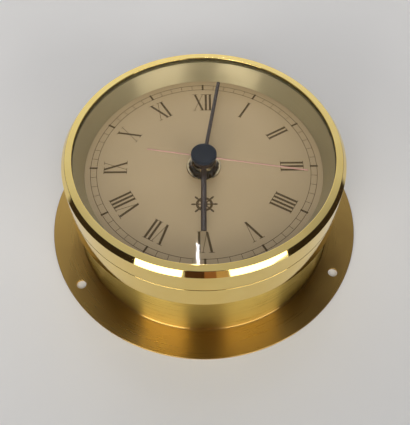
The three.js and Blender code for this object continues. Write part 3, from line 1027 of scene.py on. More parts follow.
def add_turned(
    mesh: bmesh.types.BMesh,
    outline: Profile,
    segments: int,
    closed: bool = True,
    centre: Point = (0.0, 0.0),
) -> None:
    """Adds an outline that is spun about an upright axis.

    Args:
        mesh: Mesh that it joins.
        outline: Points of radius and height, or a function that gives them for an angle.
        segments: Steps round the axis.
        closed: False for an open sheet.
        centre: Place of the axis.
    """
    rings = []
    for step in range(segments):
        angle = 2 * math.pi * step / segments
        points = outline(angle) if callable(outline) else outline
        way = Vector((math.cos(angle), math.sin(angle), 0.0))
        rings.append([mesh.verts.new((way * r + Vector((*centre, z))) * MM) for r, z in points])
    for near, far in zip(rings, rings[1:] + rings[:1]):
        for i in range(len(near) if closed else len(near) - 1):
            j = (i + 1) % len(near)
            mesh.faces.new((near[i], far[i], far[j], near[j]))


def turned(
    name: str,
    outline: Profile,
    segments: int = ROUND,
    closed: bool = True,
) -> bpy.types.Object:
    """Spins an outline about the Z axis.

    Args:
        name: Name of the piece.
        outline: Points of radius and height, or a function that gives them for an angle.
        segments: Steps round the axis.
        closed: False for an open sheet.

    Returns:
        The new object.
    """
    mesh = bmesh.new()
    add_turned(mesh, outline, segments, closed)
    bmesh.ops.remove_doubles(mesh, verts=mesh.verts, dist=SAME_POINT)
    bmesh.ops.dissolve_degenerate(mesh, dist=SLIVER, edges=mesh.edges)
    return finish_mesh(name, mesh)


def add_block(mesh: bmesh.types.BMesh, near: Sequence[Place], far: Sequence[Place]) -> None:
    """Adds a closed block between two faces.

    Args:
        mesh: Mesh that it joins.
        near: Corners of one face.
        far: Corners of the other face, in the same order.
    """
    first, second = ([mesh.verts.new(Vector(corner) * MM) for corner in face] for face in (near, far))
    mesh.faces.new(first[::-1])
    mesh.faces.new(second)
    for i in range(len(first)):
        j = (i + 1) % len(first)
        mesh.faces.new((first[i], first[j], second[j], second[i]))


def add_prism(mesh: bmesh.types.BMesh, outline: Outline, foot: float, top: float) -> None:
    """Adds a closed upright prism on a plan, between two heights."""
    add_block(mesh, [(x, y, foot) for x, y in outline], [(x, y, top) for x, y in outline])


def circle_points(radius: float, segments: int) -> list[Point]:
    """Points of a circle about the origin."""
    angles = (2 * math.pi * step / segments for step in range(segments))
    return [(radius * math.cos(a), radius * math.sin(a)) for a in angles]


def softened(name: str, node: str, width: float) -> bpy.types.Object:
    """Copies a CAD node with its sharp edges broken.

    Args:
        name: Name of the piece.
        node: Node that is copied.
        width: Width of the broken edge.

    Returns:
        The new object, in the node's place.
    """
    mesh = bmesh.new()
    mesh.from_mesh(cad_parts[node].data)
    bmesh.ops.remove_doubles(mesh, verts=mesh.verts, dist=SAME_CAD_POINT)
    bmesh.ops.dissolve_limit(mesh, angle_limit=FLAT_EDGE, verts=mesh.verts, edges=mesh.edges)
    sharp = [e for e in mesh.edges if e.is_manifold and e.calc_face_angle() > SHARP_EDGE]
    bmesh.ops.bevel(
        mesh, geom=sharp, offset=width * MM, segments=2, profile=0.5, affect="EDGES", clamp_overlap=True
    )
    return finish_mesh(name, mesh)


# Sub-assemblies


class Assembly:
    """A sub-assembly that builds its pieces and dresses them."""

    body = "case"

    def build(self) -> Iterator[bpy.types.Object]:
        """Makes the pieces one by one."""
        raise NotImplementedError

    def dress(
        self,
        piece: bpy.types.Object,
        finish: Finish,
        node: str | None = None,
        slot: str | None = None,
        body: str | None = None,
    ) -> bpy.types.Object:
        """Gives a piece its finish and its place in the frame.

        Args:
            piece: Piece in place, in the frame's axes.
            finish: Its finish.
            node: CAD node that it stands for.
            slot: Material slot of the record; not used.
            body: CAD body that it rides on, if not the assembly's own.

        Returns:
            The piece.
        """
        piece.data.materials.append(finish.material())
        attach(piece, body or self.body)
        if node is not None:
            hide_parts(node)
        return piece

    def keep(self, node: str, finish: Finish) -> bpy.types.Object:
        """Keeps a CAD node's shape and gives it a finish.

        Args:
            node: Name of the node.
            finish: Its finish.

        Returns:
            The node's object.
        """
        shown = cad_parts[node]
        for place in shown.material_slots:
            place.material = finish.material()
        return shown


@dataclass
class DrumCase(Assembly):
    """Spun drum with its screw flange.

    Attributes:
        drum: Outer radius of the drum.
        wall: Thickness of the drum's wall.
        fillet: Round where the drum meets the flange.
        flange: Thickness of the flange.
        flange_edge: Ease of the flange's rim.
        mouth_edge: Ease of the drum's two open ends.
        screw_circle: Radius of the circle of screw holes.
        screw_hole: Radius of a screw hole.
        screw_count: Number of screw holes.
        hole_edge: Broken edge of a screw hole.
        overrun: How far the drill goes past the flange.
        turn: Turn of the holes against the dial, in degrees.
    """

    drum: float = 60.8
    wall: float = 1.0
    fillet: float = 0.8
    flange: float = 1.0
    flange_edge: float = 0.25
    mouth_edge: float = 0.3
    screw_circle: float = 69.107
    screw_hole: float = 2.3
    screw_count: int = 3
    hole_edge: float = 0.05
    overrun: float = 1.0
    turn: float = 2.35

    def build(self) -> Iterator[bpy.types.Object]:
        """Spins the shell and drills its flange.

        Yields:
            Each piece, dressed.
        """
        reach = Span.of("case_drum")
        bore = self.drum - self.wall
        shell = turned("drum_shell", eased([
            Corner(bore, reach.foot, self.mouth_edge),
            Corner(reach.radius, reach.foot, self.flange_edge),
            Corner(reach.radius, reach.foot + self.flange, self.flange_edge),
            Corner(self.drum, reach.foot + self.flange, self.fillet),
            Corner(self.drum, reach.top, self.mouth_edge),
            Corner(bore, reach.top, self.mouth_edge),
        ], HOLD))
        self.drill(shell, reach.foot)
        yield self.dress(shell, BRUSHED_BRASS, "case_drum", "brushed_brass")

    def drill(self, shell: bpy.types.Object, foot: float) -> None:
        """Cuts the screw holes out of the flange.

        Args:
            shell: Piece that is drilled.
            foot: Height of the flange's back.
        """
        top = foot + self.flange
        start, end = foot - self.overrun, top + self.overrun
        wide = self.screw_hole + self.hole_edge
        spool = [
            (0.0, start), (wide, start), (wide, foot), (self.screw_hole, foot + self.hole_edge),
            (self.screw_hole, top - self.hole_edge), (wide, top), (wide, end), (0.0, end),
        ]
        for i in range(self.screw_count):
            angle = math.radians(90 + self.turn + 360 * i / self.screw_count)
            cutter = turned("hole_cutter", spool, SMALL_ROUND)
            way = Vector((math.cos(angle), math.sin(angle), 0.0))
            cutter.data.transform(Matrix.Translation(way * self.screw_circle * MM))
            cut = shell.modifiers.new("hole", "BOOLEAN")
            cut.operation = "DIFFERENCE"
            cut.solver = "EXACT"
            cut.object = cutter
            drilled = bpy.data.meshes.new_from_object(
                shell.evaluated_get(bpy.context.evaluated_depsgraph_get())
            )
            shell.modifiers.clear()
            shell.data = drilled
            bpy.data.objects.remove(cutter)


@dataclass
class CollarAndBezel(Assembly):
    """Polished collar that grips the drum, and the bezel over its neck.

    Attributes:
        collar_bore: Bore of the collar over the drum.
        neck_bore: Bore of the collar's neck.
        seat_bore: Inner radius of the ledge under the dial.
        seat_gap: Clearance between pieces that sit on each other.
        seam_gap: Gap of the seam between collar and bezel.
        seam_edge: Ease of the edges along the seam.
        bezel_bore: Bore of the bezel over the neck.
        shoulder: Inset and height of the bezel's chamfer.
        shoulder_swell: How far the chamfer stands out from flat.
        crown_rise: Rise of the crown from the chamfer to the lip.
        lip: Inner radius of the bezel's lip.
        lip_ease: Ease of the lip's upper edge.
        swell_ease: Ease of the chamfer's middle.
        fine_ease: Ease of the other edges that show.
        hidden_ease: Ease of the edges that the closed clock hides.
    """

    collar_bore: float = 61.1
    neck_bore: float = 59.0
    seat_bore: float = 56.3
    seat_gap: float = 0.2
    seam_gap: float = 0.3
    seam_edge: float = 0.22
    bezel_bore: float = 61.2
    shoulder: Point = (1.7, 2.6)
    shoulder_swell: float = 0.03
    crown_rise: float = 0.3
    lip: float = 57.9
    lip_ease: float = 0.3
    swell_ease: float = 1.0
    fine_ease: float = 0.1
    hidden_ease: float = 0.2

    def build(self) -> Iterator[bpy.types.Object]:
        """Spins the collar and the bezel.

        Yields:
            Each piece, dressed.
        """
        reach, rim, pane = Span.of("collar_ring"), Span.of("bezel_ring"), Span.of("glass_pane")
        seam = rim.foot - self.seam_gap
        seat_foot = Span.of("case_drum").top + self.seat_gap
        seat_top = Span.of("dial_plate").foot - self.seat_gap
        collar = turned("collar_body", eased([
            Corner(self.collar_bore, reach.foot, self.hidden_ease),
            Corner(reach.radius, reach.foot, self.fine_ease),
            Corner(reach.radius, seam, self.seam_edge),
            Corner(pane.radius, seam),
            Corner(pane.radius, reach.top, self.hidden_ease),
            Corner(self.neck_bore, reach.top, self.hidden_ease),
            Corner(self.neck_bore, seat_top),
            Corner(self.seat_bore, seat_top, self.hidden_ease),
            Corner(self.seat_bore, seat_foot, self.hidden_ease),
            Corner(self.collar_bore, seat_foot),
        ], HOLD))
        yield self.dress(collar, POLISHED_BRASS, "collar_ring", "polished_brass")

        inset, height = self.shoulder
        crown = Vector((rim.radius - inset, rim.top - self.crown_rise))
        foot = Vector((rim.radius, crown.y - height))
        swell = foot.lerp(crown, 0.5) + Vector((height, inset)).normalized() * self.shoulder_swell
        lip_foot = pane.top + self.seat_gap
        bezel = turned("bezel_body", eased([
            Corner(self.bezel_bore, rim.foot, self.hidden_ease),
            Corner(rim.radius, rim.foot, self.seam_edge),
            Corner(foot.x, foot.y, self.fine_ease),
            Corner(swell.x, swell.y, self.swell_ease),
            Corner(crown.x, crown.y, self.fine_ease),
            Corner(self.lip, rim.top, self.lip_ease),
            Corner(self.lip, lip_foot, self.fine_ease),
            Corner(self.bezel_bore, lip_foot),
        ], HOLD))
        yield self.dress(bezel, POLISHED_BRASS, "bezel_ring", "polished_brass")


@dataclass
class Window(Assembly):
    """Glass, its seal and the reflector below them.

    Attributes:
        edge: Ground edge of the glass.
        sheet: Thickness of the reflector's sheet.
        foot: Inner radius of the reflector at the dial.
        foot_ease: Ease of its edges there.
        bend: Inner radius of the reflector where it turns out to its rim.
        bend_ease: Ease of that bend.
    """

    edge: float = 0.25
    sheet: float = 0.8
    foot: float = 53.9
    foot_ease: float = 0.15
    bend: float = 57.9
    bend_ease: float = 0.35

    def build(self) -> Iterator[bpy.types.Object]:
        """Spins the glass and the reflector, and keeps the seal.

        Yields:
            Each piece, dressed.
        """
        pane = Span.of("glass_pane")
        glass = turned("window_glass", [
            (0.0, pane.foot), (pane.radius - self.edge, pane.foot), (pane.radius, pane.foot + self.edge),
            (pane.radius, pane.top - self.edge), (pane.radius - self.edge, pane.top), (0.0, pane.top),
        ])
        yield self.dress(glass, GLASS, "glass_pane", "clear_glass")

        yield self.keep("glass_gasket", SEAL)

        reach = Span.of("reflector_ring")
        rim = reach.top - self.sheet
        reflector = turned("reflector_cone", eased([
            Corner(self.foot, reach.foot, self.foot_ease),
            Corner(self.foot + self.sheet, reach.foot, self.foot_ease),
            Corner(self.bend + self.sheet, rim),
            Corner(reach.radius, rim),
            Corner(reach.radius, reach.top),
            Corner(self.bend, reach.top, self.bend_ease),
        ], HOLD))
        yield self.dress(reflector, REFLECTOR_BRASS, "reflector_ring", "satin_brass")


@dataclass
class Dial(Assembly):
    """Dial plate with its printed hours, minute track and ship's wheel.

    Attributes:
        hole: Radius of the hole for the bush.
        ink: Thickness of the print.
        numeral_foot: Radius of the numerals' feet.
        numeral_head: Radius of the numerals' heads.
        serif: How far a serif of a V or an X reaches past its stroke.
        track: Inner and outer radius of the minute track.
        track_line: Width of the track's circles.
        minutes: Number of marks on the track.
        minute_mark: Width of a minute mark.
        hour_mark: Width and the two radii of an hour mark.
        wheel_at: Distance of the ship's wheel below the centre.
        wheel_rim: Inner and outer radius of the wheel's rim.
        wheel_hub: Radius of the wheel's hub.
        hub_steps: Steps round the hub.
        wheel_reach: Radius to the ends of the wheel's handles.
        wheel_spokes: Number of spokes.
        spoke: Width of a spoke.
        grip: Half the width of a handle's middle, for each unit of a spoke's width.
        overlap: How far spokes and handles run into the hub and the rim.
        numerals: The hours, from twelve.
    """

    hole: float = 5.2
    ink: float = 0.03
    numeral_foot: float = 34.9
    numeral_head: float = 45.2
    serif: float = 0.75
    track: Point = (48.5, 51.3)
    track_line: float = 0.23
    minutes: int = 60
    minute_mark: float = 0.2
    hour_mark: tuple[float, float, float] = (0.9, 48.2, 51.8)
    wheel_at: float = 20.6
    wheel_rim: Point = (2.6, 3.75)
    wheel_hub: float = 1.45
    hub_steps: int = 32
    wheel_reach: float = 5.8
    wheel_spokes: int = 8
    spoke: float = 0.62
    grip: float = 0.8
    overlap: float = 0.1
    numerals: tuple[str, ...] = (
        "XII", "I", "II", "III", "IIII", "V", "VI", "VII", "VIII", "IX", "X", "XI",
    )

    def build(self) -> Iterator[bpy.types.Object]:
        """Makes the plate and its print.

        Yields:
            Each piece, dressed.
        """
        reach = Span.of("dial_plate")
        plate = turned("dial_disc", self.hoop(self.hole, reach.radius, (reach.foot, reach.top)))
        yield self.dress(plate, DIAL_FINISH, "dial_plate", "dial_face")

        mesh = bmesh.new()
        level = (reach.top, reach.top + self.ink)
        self.print_track(mesh, level)
        for hour, numeral in enumerate(self.numerals):
            self.print_numeral(mesh, level, numeral, 360 * hour / len(self.numerals))
        self.print_wheel(mesh, level)
        yield self.dress(finish_mesh("dial_print", mesh), DIAL_INK, slot="black_hand_paint")

    @staticmethod
    def on_dial(outline: Outline, degrees: float) -> list[Point]:
        """Turns an outline drawn at twelve o'clock to its own hour.

        Args:
            outline: Points to the right of the dial's centre and up from it.
            degrees: Its angle clockwise from twelve.

        Returns:
            The points on the dial.
        """
        sin, cos = math.sin(math.radians(degrees)), math.cos(math.radians(degrees))
        return [(y * sin + x * cos, y * cos - x * sin) for x, y in outline]

    @staticmethod
    def bar(width: float, low: float, high: float, middle: float = 0.0) -> list[Point]:
        """A bar that stands beside the twelve o'clock line, or on it."""
        left, right = middle - width / 2, middle + width / 2
        return [(left, low), (right, low), (right, high), (left, high)]

    @staticmethod
    def hoop(inner: float, outer: float, level: Point) -> list[Point]:
        """Section of a flat hoop between two heights."""
        low, high = level
        return [(inner, low), (outer, low), (outer, high), (inner, high)]

    def print_track(self, mesh: bmesh.types.BMesh, level: Point) -> None:
        """Prints the minute track.

        Args:
            mesh: Mesh of the print.
            level: Lower and upper height of the ink.
        """
        half = self.track_line / 2
        for radius in self.track:
            add_turned(mesh, self.hoop(radius - half, radius + half, level), ROUND)
        for minute in range(self.minutes):
            on_hour = minute * len(self.numerals) % self.minutes == 0
            shape = self.bar(*self.hour_mark) if on_hour else self.bar(self.minute_mark, *self.track)
            add_prism(mesh, self.on_dial(shape, 360 * minute / self.minutes), *level)

    def print_numeral(self, mesh: bmesh.types.BMesh, level: Point, numeral: str, degrees: float) -> None:
        """Prints a numeral with its feet to the centre.

        Args:
            mesh: Mesh of the print.
            level: Lower and upper height of the ink.
            numeral: Its letters.
            degrees: Its angle clockwise from twelve.
        """
        letters = [Letter[name] for name in numeral]
        left = -sum(letter.width for letter in letters) / 2
        low, high = self.numeral_foot, self.numeral_head
        thin = Stroke.HAIR.value / 2
        for letter in letters:
            for foot_share, head_share, weight in letter.strokes:
                foot, head = left + foot_share * letter.width, left + head_share * letter.width
                half = weight.value / 2
                shape = [(foot - half, low), (foot + half, low), (head + half, high), (head - half, high)]
                add_prism(mesh, self.on_dial(shape, degrees), *level)
                ends = [(high, head)] if letter is Letter.V else [(low, foot), (high, head)]
                for edge, middle in ends:
                    width = letter.width if letter is Letter.I else weight.value + 2 * self.serif
                    serif = self.bar(width, edge - thin, edge + thin, middle)
                    add_prism(mesh, self.on_dial(serif, degrees), *level)
            left += letter.width

    def print_wheel(self, mesh: bmesh.types.BMesh, level: Point) -> None:
        """Prints the ship's wheel.

        Args:
            mesh: Mesh of the print.
            level: Lower and upper height of the ink.
        """
        rim_bore, rim = self.wheel_rim
        section = self.hoop(rim_bore, rim, level)
        add_turned(mesh, section, SMALL_ROUND, centre=(0.0, -self.wheel_at))
        neck, grip = self.spoke / 2, self.spoke * self.grip
        low, middle, high = rim - self.overlap, (rim + self.wheel_reach) / 2, self.wheel_reach
        handle = [(-neck, low), (neck, low), (grip, middle), (neck, high), (-neck, high), (-grip, middle)]
        spoke = self.bar(self.spoke, self.wheel_hub - self.overlap, rim_bore + self.overlap)
        shapes = [circle_points(self.wheel_hub, self.hub_steps)]
        for i in range(self.wheel_spokes):
            shapes += [self.on_dial(shape, 360 * i / self.wheel_spokes) for shape in (spoke, handle)]
        for shape in shapes:
            add_prism(mesh, [(x, y - self.wheel_at) for x, y in shape], *level)


@dataclass
class BushStack(Assembly):
    """Threaded bush that clamps the movement to the dial, with its nut and washers.

    Attributes:
        bush_bore: Bore of the bush.
        flange: Thickness of the bush's flange.
        flange_gap: Clearance between the flange and the rubber washer.
        thread: Radius of the thread's crest.
        thread_depth: Depth of the thread.
        thread_pitch: Pitch of the thread.
        thread_steps: Steps up each pitch.
        hole: Bore of the nut and washers.
        nut_flats: Distance across the nut's flats.
        nut_chamfer: Share of the flats' radius where the nut's chamfer starts.
        nut_slope: Slope of that chamfer, in degrees.
        nut_mouth: Chamfer of the nut's bore.
        washer_ease: Ease of the washer's bore.
        washer_foot_ease: Ease of its lower rim.
        washer_top_ease: Ease of its upper rim.
    """

    bush_bore: float = 2.55
    flange: float = 0.8
    flange_gap: float = 0.2
    thread: float = 4.9
    thread_depth: float = 0.45
    thread_pitch: float = 0.75
    thread_steps: int = 10
    hole: float = 5.2
    nut_flats: float = 12.0
    nut_chamfer: float = 0.94
    nut_slope: float = 30.0
    nut_mouth: float = 0.3
    washer_ease: float = 0.1
    washer_foot_ease: float = 0.15
    washer_top_ease: float = 0.25

    def build(self) -> Iterator[bpy.types.Object]:
        """Makes the bush, nut and brass washer, and keeps the rubber one.

        Yields:
            Each piece, dressed.
        """
        yield self.dress(self.make_bush(), TURNED_BRASS, "threaded_bush", "satin_brass")
        yield self.dress(self.make_nut(), SHADED_NUT_BRASS, "hex_nut", "satin_brass")
        reach = Span.of("brass_washer")
        washer = turned("washer_disc", eased([
            Corner(self.hole, reach.foot, self.washer_ease),
            Corner(reach.radius, reach.foot, self.washer_foot_ease),
            Corner(reach.radius, reach.top, self.washer_top_ease),
            Corner(self.hole, reach.top, self.washer_ease),
        ]), SMALL_ROUND)
        yield self.dress(washer, SHADED_WASHER_BRASS, "brass_washer", "satin_brass")
        yield self.keep("rubber_washer", RUBBER)

    def make_bush(self) -> bpy.types.Object:
        """Spins the bush, with a thread that climbs one pitch for each turn.

        Returns:
            The bush.
        """
        reach = Span.of("threaded_bush")
        top = Span.of("rubber_washer").foot - self.flange_gap
        foot = top - self.flange
        steps = round((reach.top - top) / self.thread_pitch * self.thread_steps)
        heights = [top + (reach.top - top) * i / steps for i in range(steps + 1)]

        def outline(angle: float) -> list[Point]:
            """Section of the bush.

            Args:
                angle: Angle round the axis, in radians.

            Returns:
                Points of radius and height.
            """
            turn = angle / (2 * math.pi)
            crest = [
                (self.thread - self.thread_depth * abs(((z / self.thread_pitch - turn) % 1) * 2 - 1), z)
                for z in heights
            ]
            return [
                (self.bush_bore, reach.foot), (self.thread, reach.foot), (self.thread, foot),
                (reach.radius, foot), (reach.radius, top), *crest, (self.bush_bore, reach.top),
            ]

        return turned("bush_thread", outline, SMALL_ROUND)

    def make_nut(self) -> bpy.types.Object:
        """Makes the nut, with the corners of its faces turned off.

        Returns:
            The nut.
        """
        reach = Span.of("hex_nut")
        flat = self.nut_flats / 2
        start = flat * self.nut_chamfer
        slope = math.tan(math.radians(self.nut_slope))

        def outline(angle: float) -> list[Point]:
            """Section of the nut.

            Args:
                angle: Angle round the axis, in radians.

            Returns:
                Points of radius and height.
            """
            side = flat / math.cos((angle % (math.pi / 3)) - math.pi / 6)
            drop = (side - start) * slope
            return [
                (self.hole, reach.foot), (start, reach.foot), (side, reach.foot + drop),
                (side, reach.top - drop), (start, reach.top), (self.hole + self.nut_mouth, reach.top),
                (self.hole, reach.top - self.nut_mouth),
            ]

        return turned("nut_hexagon", outline, SMALL_ROUND * 2)


@dataclass(frozen=True)
class HandShape:
    """Sizes of one hand.

    Attributes:
        node: CAD node that it stands for.
        body: Body that it rides on.
        angle: Angle clockwise from twelve at rest, in degrees.
        length: Length from the centre to the tip.
        tail: Length behind the centre.
        width: Width of the blade.
        blade: Thickness of the blade.
        boss: Radius of the boss.
        bore: Bore of the boss.
        finish: Finish of the hand.
        slot: Material slot of the record.
    """

    node: str
    body: str
    angle: float
    length: float
    tail: float
    width: float
    blade: float
    boss: float
    bore: float
    finish: Finish
    slot: str


@dataclass
class Hands(Assembly):
    """Three baton hands and the cap over their hub.

    Attributes:
        flat_share: Share of a blade's width that stays flat between its bevels.
        bevel_share: Share of a blade's thickness that its bevels take.
        root: How far a blade without a tail runs into its boss.
        boss_round: Ease of a boss's upper edge.
        boss_ease: Ease of its other edges that have one.
        cap_round: Ease of the cap's upper edge.
        cap_ease: Ease of its lower edge.
        shapes: The hands, from the dial outwards.
    """

    flat_share: float = 0.5
    bevel_share: float = 0.55
    root: float = 0.3
    boss_round: float = 0.2
    boss_ease: float = 0.05
    cap_round: float = 0.7
    cap_ease: float = 0.15
    shapes: tuple[HandShape, ...] = (
        HandShape(
            "hour_hand", "hour_shaft", angle=180.75, length=37.5, tail=0.0, width=2.4, blade=0.5,
            boss=4.4, bore=2.55, finish=BLACK_PAINT, slot="black_hand_paint",
        ),
        HandShape(
            "minute_hand", "minute_shaft", angle=9.2, length=47.8, tail=0.0, width=1.65, blade=0.5,
            boss=3.9, bore=1.65, finish=BLACK_PAINT, slot="black_hand_paint",
        ),
        HandShape(
            "second_hand", "second_shaft", angle=100.3, length=46.4, tail=25.8, width=0.7, blade=0.3,
            boss=2.4, bore=0.75, finish=RED_PAINT, slot="red_hand_paint",
        ),
    )

    def build(self) -> Iterator[bpy.types.Object]:
        """Makes the hands and the cap.

        Yields:
            Each piece, dressed.
        """
        for shape in self.shapes:
            yield self.dress(self.make_hand(shape), shape.finish, shape.node, shape.slot, shape.body)
        reach = Span.of("second_hand_cap")
        cap = turned("hub_cap", eased([
            Corner(0.0, reach.foot),
            Corner(reach.radius, reach.foot, self.cap_ease),
            Corner(reach.radius, reach.top, self.cap_round),
            Corner(0.0, reach.top),
        ]), SMALL_ROUND)
        yield self.dress(cap, CAP_PLASTIC, "second_hand_cap", "cap_plastic", "second_shaft")

    def make_hand(self, shape: HandShape) -> bpy.types.Object:
        """Makes one hand: a bevelled blade on a round boss.

        Args:
            shape: Its sizes.

        Returns:
            The hand at its angle at rest.
        """
        low, high = (corner.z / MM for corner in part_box(shape.node))
        half, flat = shape.width / 2, shape.width * self.flat_share / 2
        blade_top = low + shape.blade
        bevel = blade_top - shape.blade * self.bevel_share
        section = [
            (-half, low), (half, low), (half, bevel),
            (flat, blade_top), (-flat, blade_top), (-half, bevel),
        ]
        start = -shape.tail if shape.tail else shape.boss - self.root
        boss = turned("boss", eased([
            Corner(shape.bore, low),
            Corner(shape.boss, low, self.boss_ease),
            Corner(shape.boss, high, self.boss_round),
            Corner(shape.bore, high, self.boss_ease),
        ]), SMALL_ROUND)
        mesh = bmesh.new()
        add_block(mesh, [(x, start, z) for x, z in section], [(x, shape.length, z) for x, z in section])
        mesh.from_mesh(boss.data)
        bpy.data.objects.remove(boss)
        hand = finish_mesh(shape.node + "_baton", mesh)
        hand.data.transform(Matrix.Rotation(-math.radians(shape.angle), 4, "Z"))
        return hand


@dataclass
class Movement(Assembly):
    """Quartz movement: housing, motor, wheel train, battery and setting knob.

    Attributes:
        edge: Broken edge of the moulded pieces.
        nub: Radius of the cell's positive nub.
        nub_length: Length of that nub.
        nub_ease: Ease of its end.
        cell_round: Ease of the cell's ends.
        flutes: Flutes round the knob.
        flute_steps: Steps round each flute.
        flute_depth: Depth of a flute.
        knob_ease: Ease of the knob's edges.
        knob_bore: Bore of the knob over its arbor.
        knob_cap: Thickness of the knob's closed end.
        moulded: Housing pieces of black plastic.
        inner: Pieces that keep their CAD shape, with their finish.
    """

    edge: float = 0.25
    nub: float = 2.7
    nub_length: float = 1.3
    nub_ease: float = 0.3
    cell_round: float = 0.7
    flutes: int = 18
    flute_steps: int = 12
    flute_depth: float = 0.45
    knob_ease: float = 0.4
    knob_bore: float = 1.05
    knob_cap: float = 0.9
    moulded: tuple[str, ...] = ("movement_case", "movement_cover")
    inner: tuple[tuple[str, Finish], ...] = (
        ("middle_plate", WHITE_PLASTIC),
        ("stator_plate", STEEL),
        ("coil_core", STEEL),
        ("coil_winding", COPPER),
        ("circuit_board", LAMINATE),
        ("control_chip", CHIP_RESIN),
        ("quartz_crystal", NICKEL),
        ("contact_positive", NICKEL),
        ("contact_negative", NICKEL),
        ("rotor", MAGNET),
        ("intermediate_wheel", WHITE_PLASTIC),
        ("second_wheel", WHITE_PLASTIC),
        ("third_wheel", WHITE_PLASTIC),
        ("centre_wheel", TURNED_BRASS),
        ("cannon_pinion", TURNED_BRASS),
        ("motion_wheel", WHITE_PLASTIC),
        ("hour_wheel", WHITE_PLASTIC),
    )

    def build(self) -> Iterator[bpy.types.Object]:
        """Makes the housing, cell and knob, and dresses what lies inside.

        Yields:
            Each piece, dressed.
        """
        for node in self.moulded:
            housing = softened(node + "_moulding", node, self.edge)
            yield self.dress(housing, BLACK_PLASTIC, node, "black_plastic")
        yield self.make_cell()
        yield self.make_knob()
        for node, finish in self.inner:
            yield self.keep(node, finish)

    def make_cell(self) -> bpy.types.Object:
        """Makes the battery cell.

        Returns:
            The cell in its bay.
        """
        low, high = (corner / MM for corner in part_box("battery_cell"))
        radius, half = (high.y - low.y) / 2, (high.x - low.x) / 2
        shoulder = half - self.nub_length
        cell = turned("cell_can", eased([
            Corner(0.0, -half),
            Corner(radius, -half, self.cell_round),
            Corner(radius, shoulder, self.cell_round),
            Corner(self.nub, shoulder),
            Corner(self.nub, half, self.nub_ease),
            Corner(0.0, half),
        ]), SMALL_ROUND)
        along_x = Matrix.Rotation(math.radians(90), 4, "Y")
        cell.data.transform(Matrix.Translation((low + high) / 2 * MM) @ along_x)
        jacket = CellJacket("cell jacket", length=2 * (shoulder - self.cell_round))
        return self.dress(cell, jacket, "battery_cell", "cell_jacket")

    def make_knob(self) -> bpy.types.Object:
        """Makes the fluted setting knob.

        Returns:
            The knob on its arbor.
        """
        low, high = (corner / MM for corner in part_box("setting_knob"))
        radius = (high.y - low.y) / 2
        middle = (low + high) / 2
        floor = low.z + self.knob_cap

        def outline(angle: float) -> list[Point]:
            """Section of the knob.

            Args:
                angle: Angle round the axis, in radians.

            Returns:
                Points of radius and height.
            """
            side = radius - self.flute_depth * (0.5 - 0.5 * math.cos(self.flutes * angle))
            return eased([
                Corner(0.0, low.z),
                Corner(side, low.z, self.knob_ease),
                Corner(side, high.z, self.knob_ease),
                Corner(self.knob_bore, high.z),
                Corner(self.knob_bore, floor),
                Corner(0.0, floor),
            ])

        knob = turned("knob_fluted", outline, self.flutes * self.flute_steps)
        knob.data.transform(Matrix.Translation(Vector((middle.x, middle.y, 0.0)) * MM))
        return self.dress(knob, WHITE_PLASTIC, "setting_knob", "white_plastic", "motion_shaft")


# Studio


def heading(bearing: float, height: float = 0.0) -> Vector:
    """Direction from the clock.

    Args:
        bearing: Angle from straight ahead, to the right, in degrees.
        height: Angle above the table, in degrees.

    Returns:
        The direction, with a length of one.
    """
    turn, rise = math.radians(bearing), math.radians(height)
    flat = math.cos(rise)
    return Vector((math.sin(turn) * flat, -math.cos(turn) * flat, math.sin(rise)))


@dataclass(frozen=True)
class SoftPanel:
    """A soft light panel.

    Attributes:
        bearing: Angle from straight ahead, to the right, in degrees.
        height: Angle of its middle above the table, in degrees.
        distance: Distance from the clock.
        width: Width of the panel.
        rise: Height of the panel.
        radiance: Brightness of its face.
        mirrored: False for a fill light that polished metal and glass don't show.
        colour: Colour of its light.
    """

    bearing: float
    height: float
    distance: float
    width: float
    rise: float
    radiance: float
    mirrored: bool = True
    colour: Colour = (1.0, 0.985, 0.96)

    def build(self, name: str) -> bpy.types.Object:
        """Makes the lamp.

        Args:
            name: Name of the lamp.

        Returns:
            The lamp in place, facing the clock.
        """
        way = heading(self.bearing, self.height)
        lamp = bpy.data.lights.new(name, "AREA")
        lamp.shape = "RECTANGLE"
        lamp.size, lamp.size_y = self.width * MM, self.rise * MM
        lamp.energy = self.radiance * math.pi * lamp.size * lamp.size_y
        lamp.color = self.colour
        stand = bpy.data.objects.new(name, lamp)
        stand.visible_camera = False
        stand.visible_glossy = stand.visible_transmission = self.mirrored
        stand.location = way * self.distance * MM
        stand.rotation_mode = "QUATERNION"
        stand.rotation_quaternion = way.to_track_quat("Z", "Y")
        bpy.context.scene.collection.objects.link(stand)
        return stand


@dataclass(frozen=True)
class LowCard:
    """A low card that stands round one side of the clock, which polished brass mirrors as a line.

    Attributes:
        start: Angle of its left end from straight ahead, to the right, in degrees.
        end: Angle of its right end.
        finish: Finish of the card.
        radius: Distance from the clock.
        height: Height of the card.
        steps: Steps along its curve.
    """

    start: float
    end: float
    finish: Finish
    radius: float = 270.0
    height: float = 110.0
    steps: int = 32

    def build(self, name: str) -> bpy.types.Object:
        """Makes the card, which is out of the camera's sight.

        Args:
            name: Name of the card.

        Returns:
            The card.
        """
        mesh = bmesh.new()
        posts = []
        for step in range(self.steps + 1):
            foot = heading(self.start + (self.end - self.start) * step / self.steps) * self.radius
            posts.append([mesh.verts.new((foot + Vector((0, 0, z))) * MM) for z in (0.0, self.height)])
        for near, far in zip(posts, posts[1:]):
            mesh.faces.new((near[0], far[0], far[1], near[1]))
        card = finish_mesh(name, mesh)
        card.data.materials.append(self.finish.material())
        card.visible_camera = card.visible_diffuse = card.visible_shadow = False
        return card


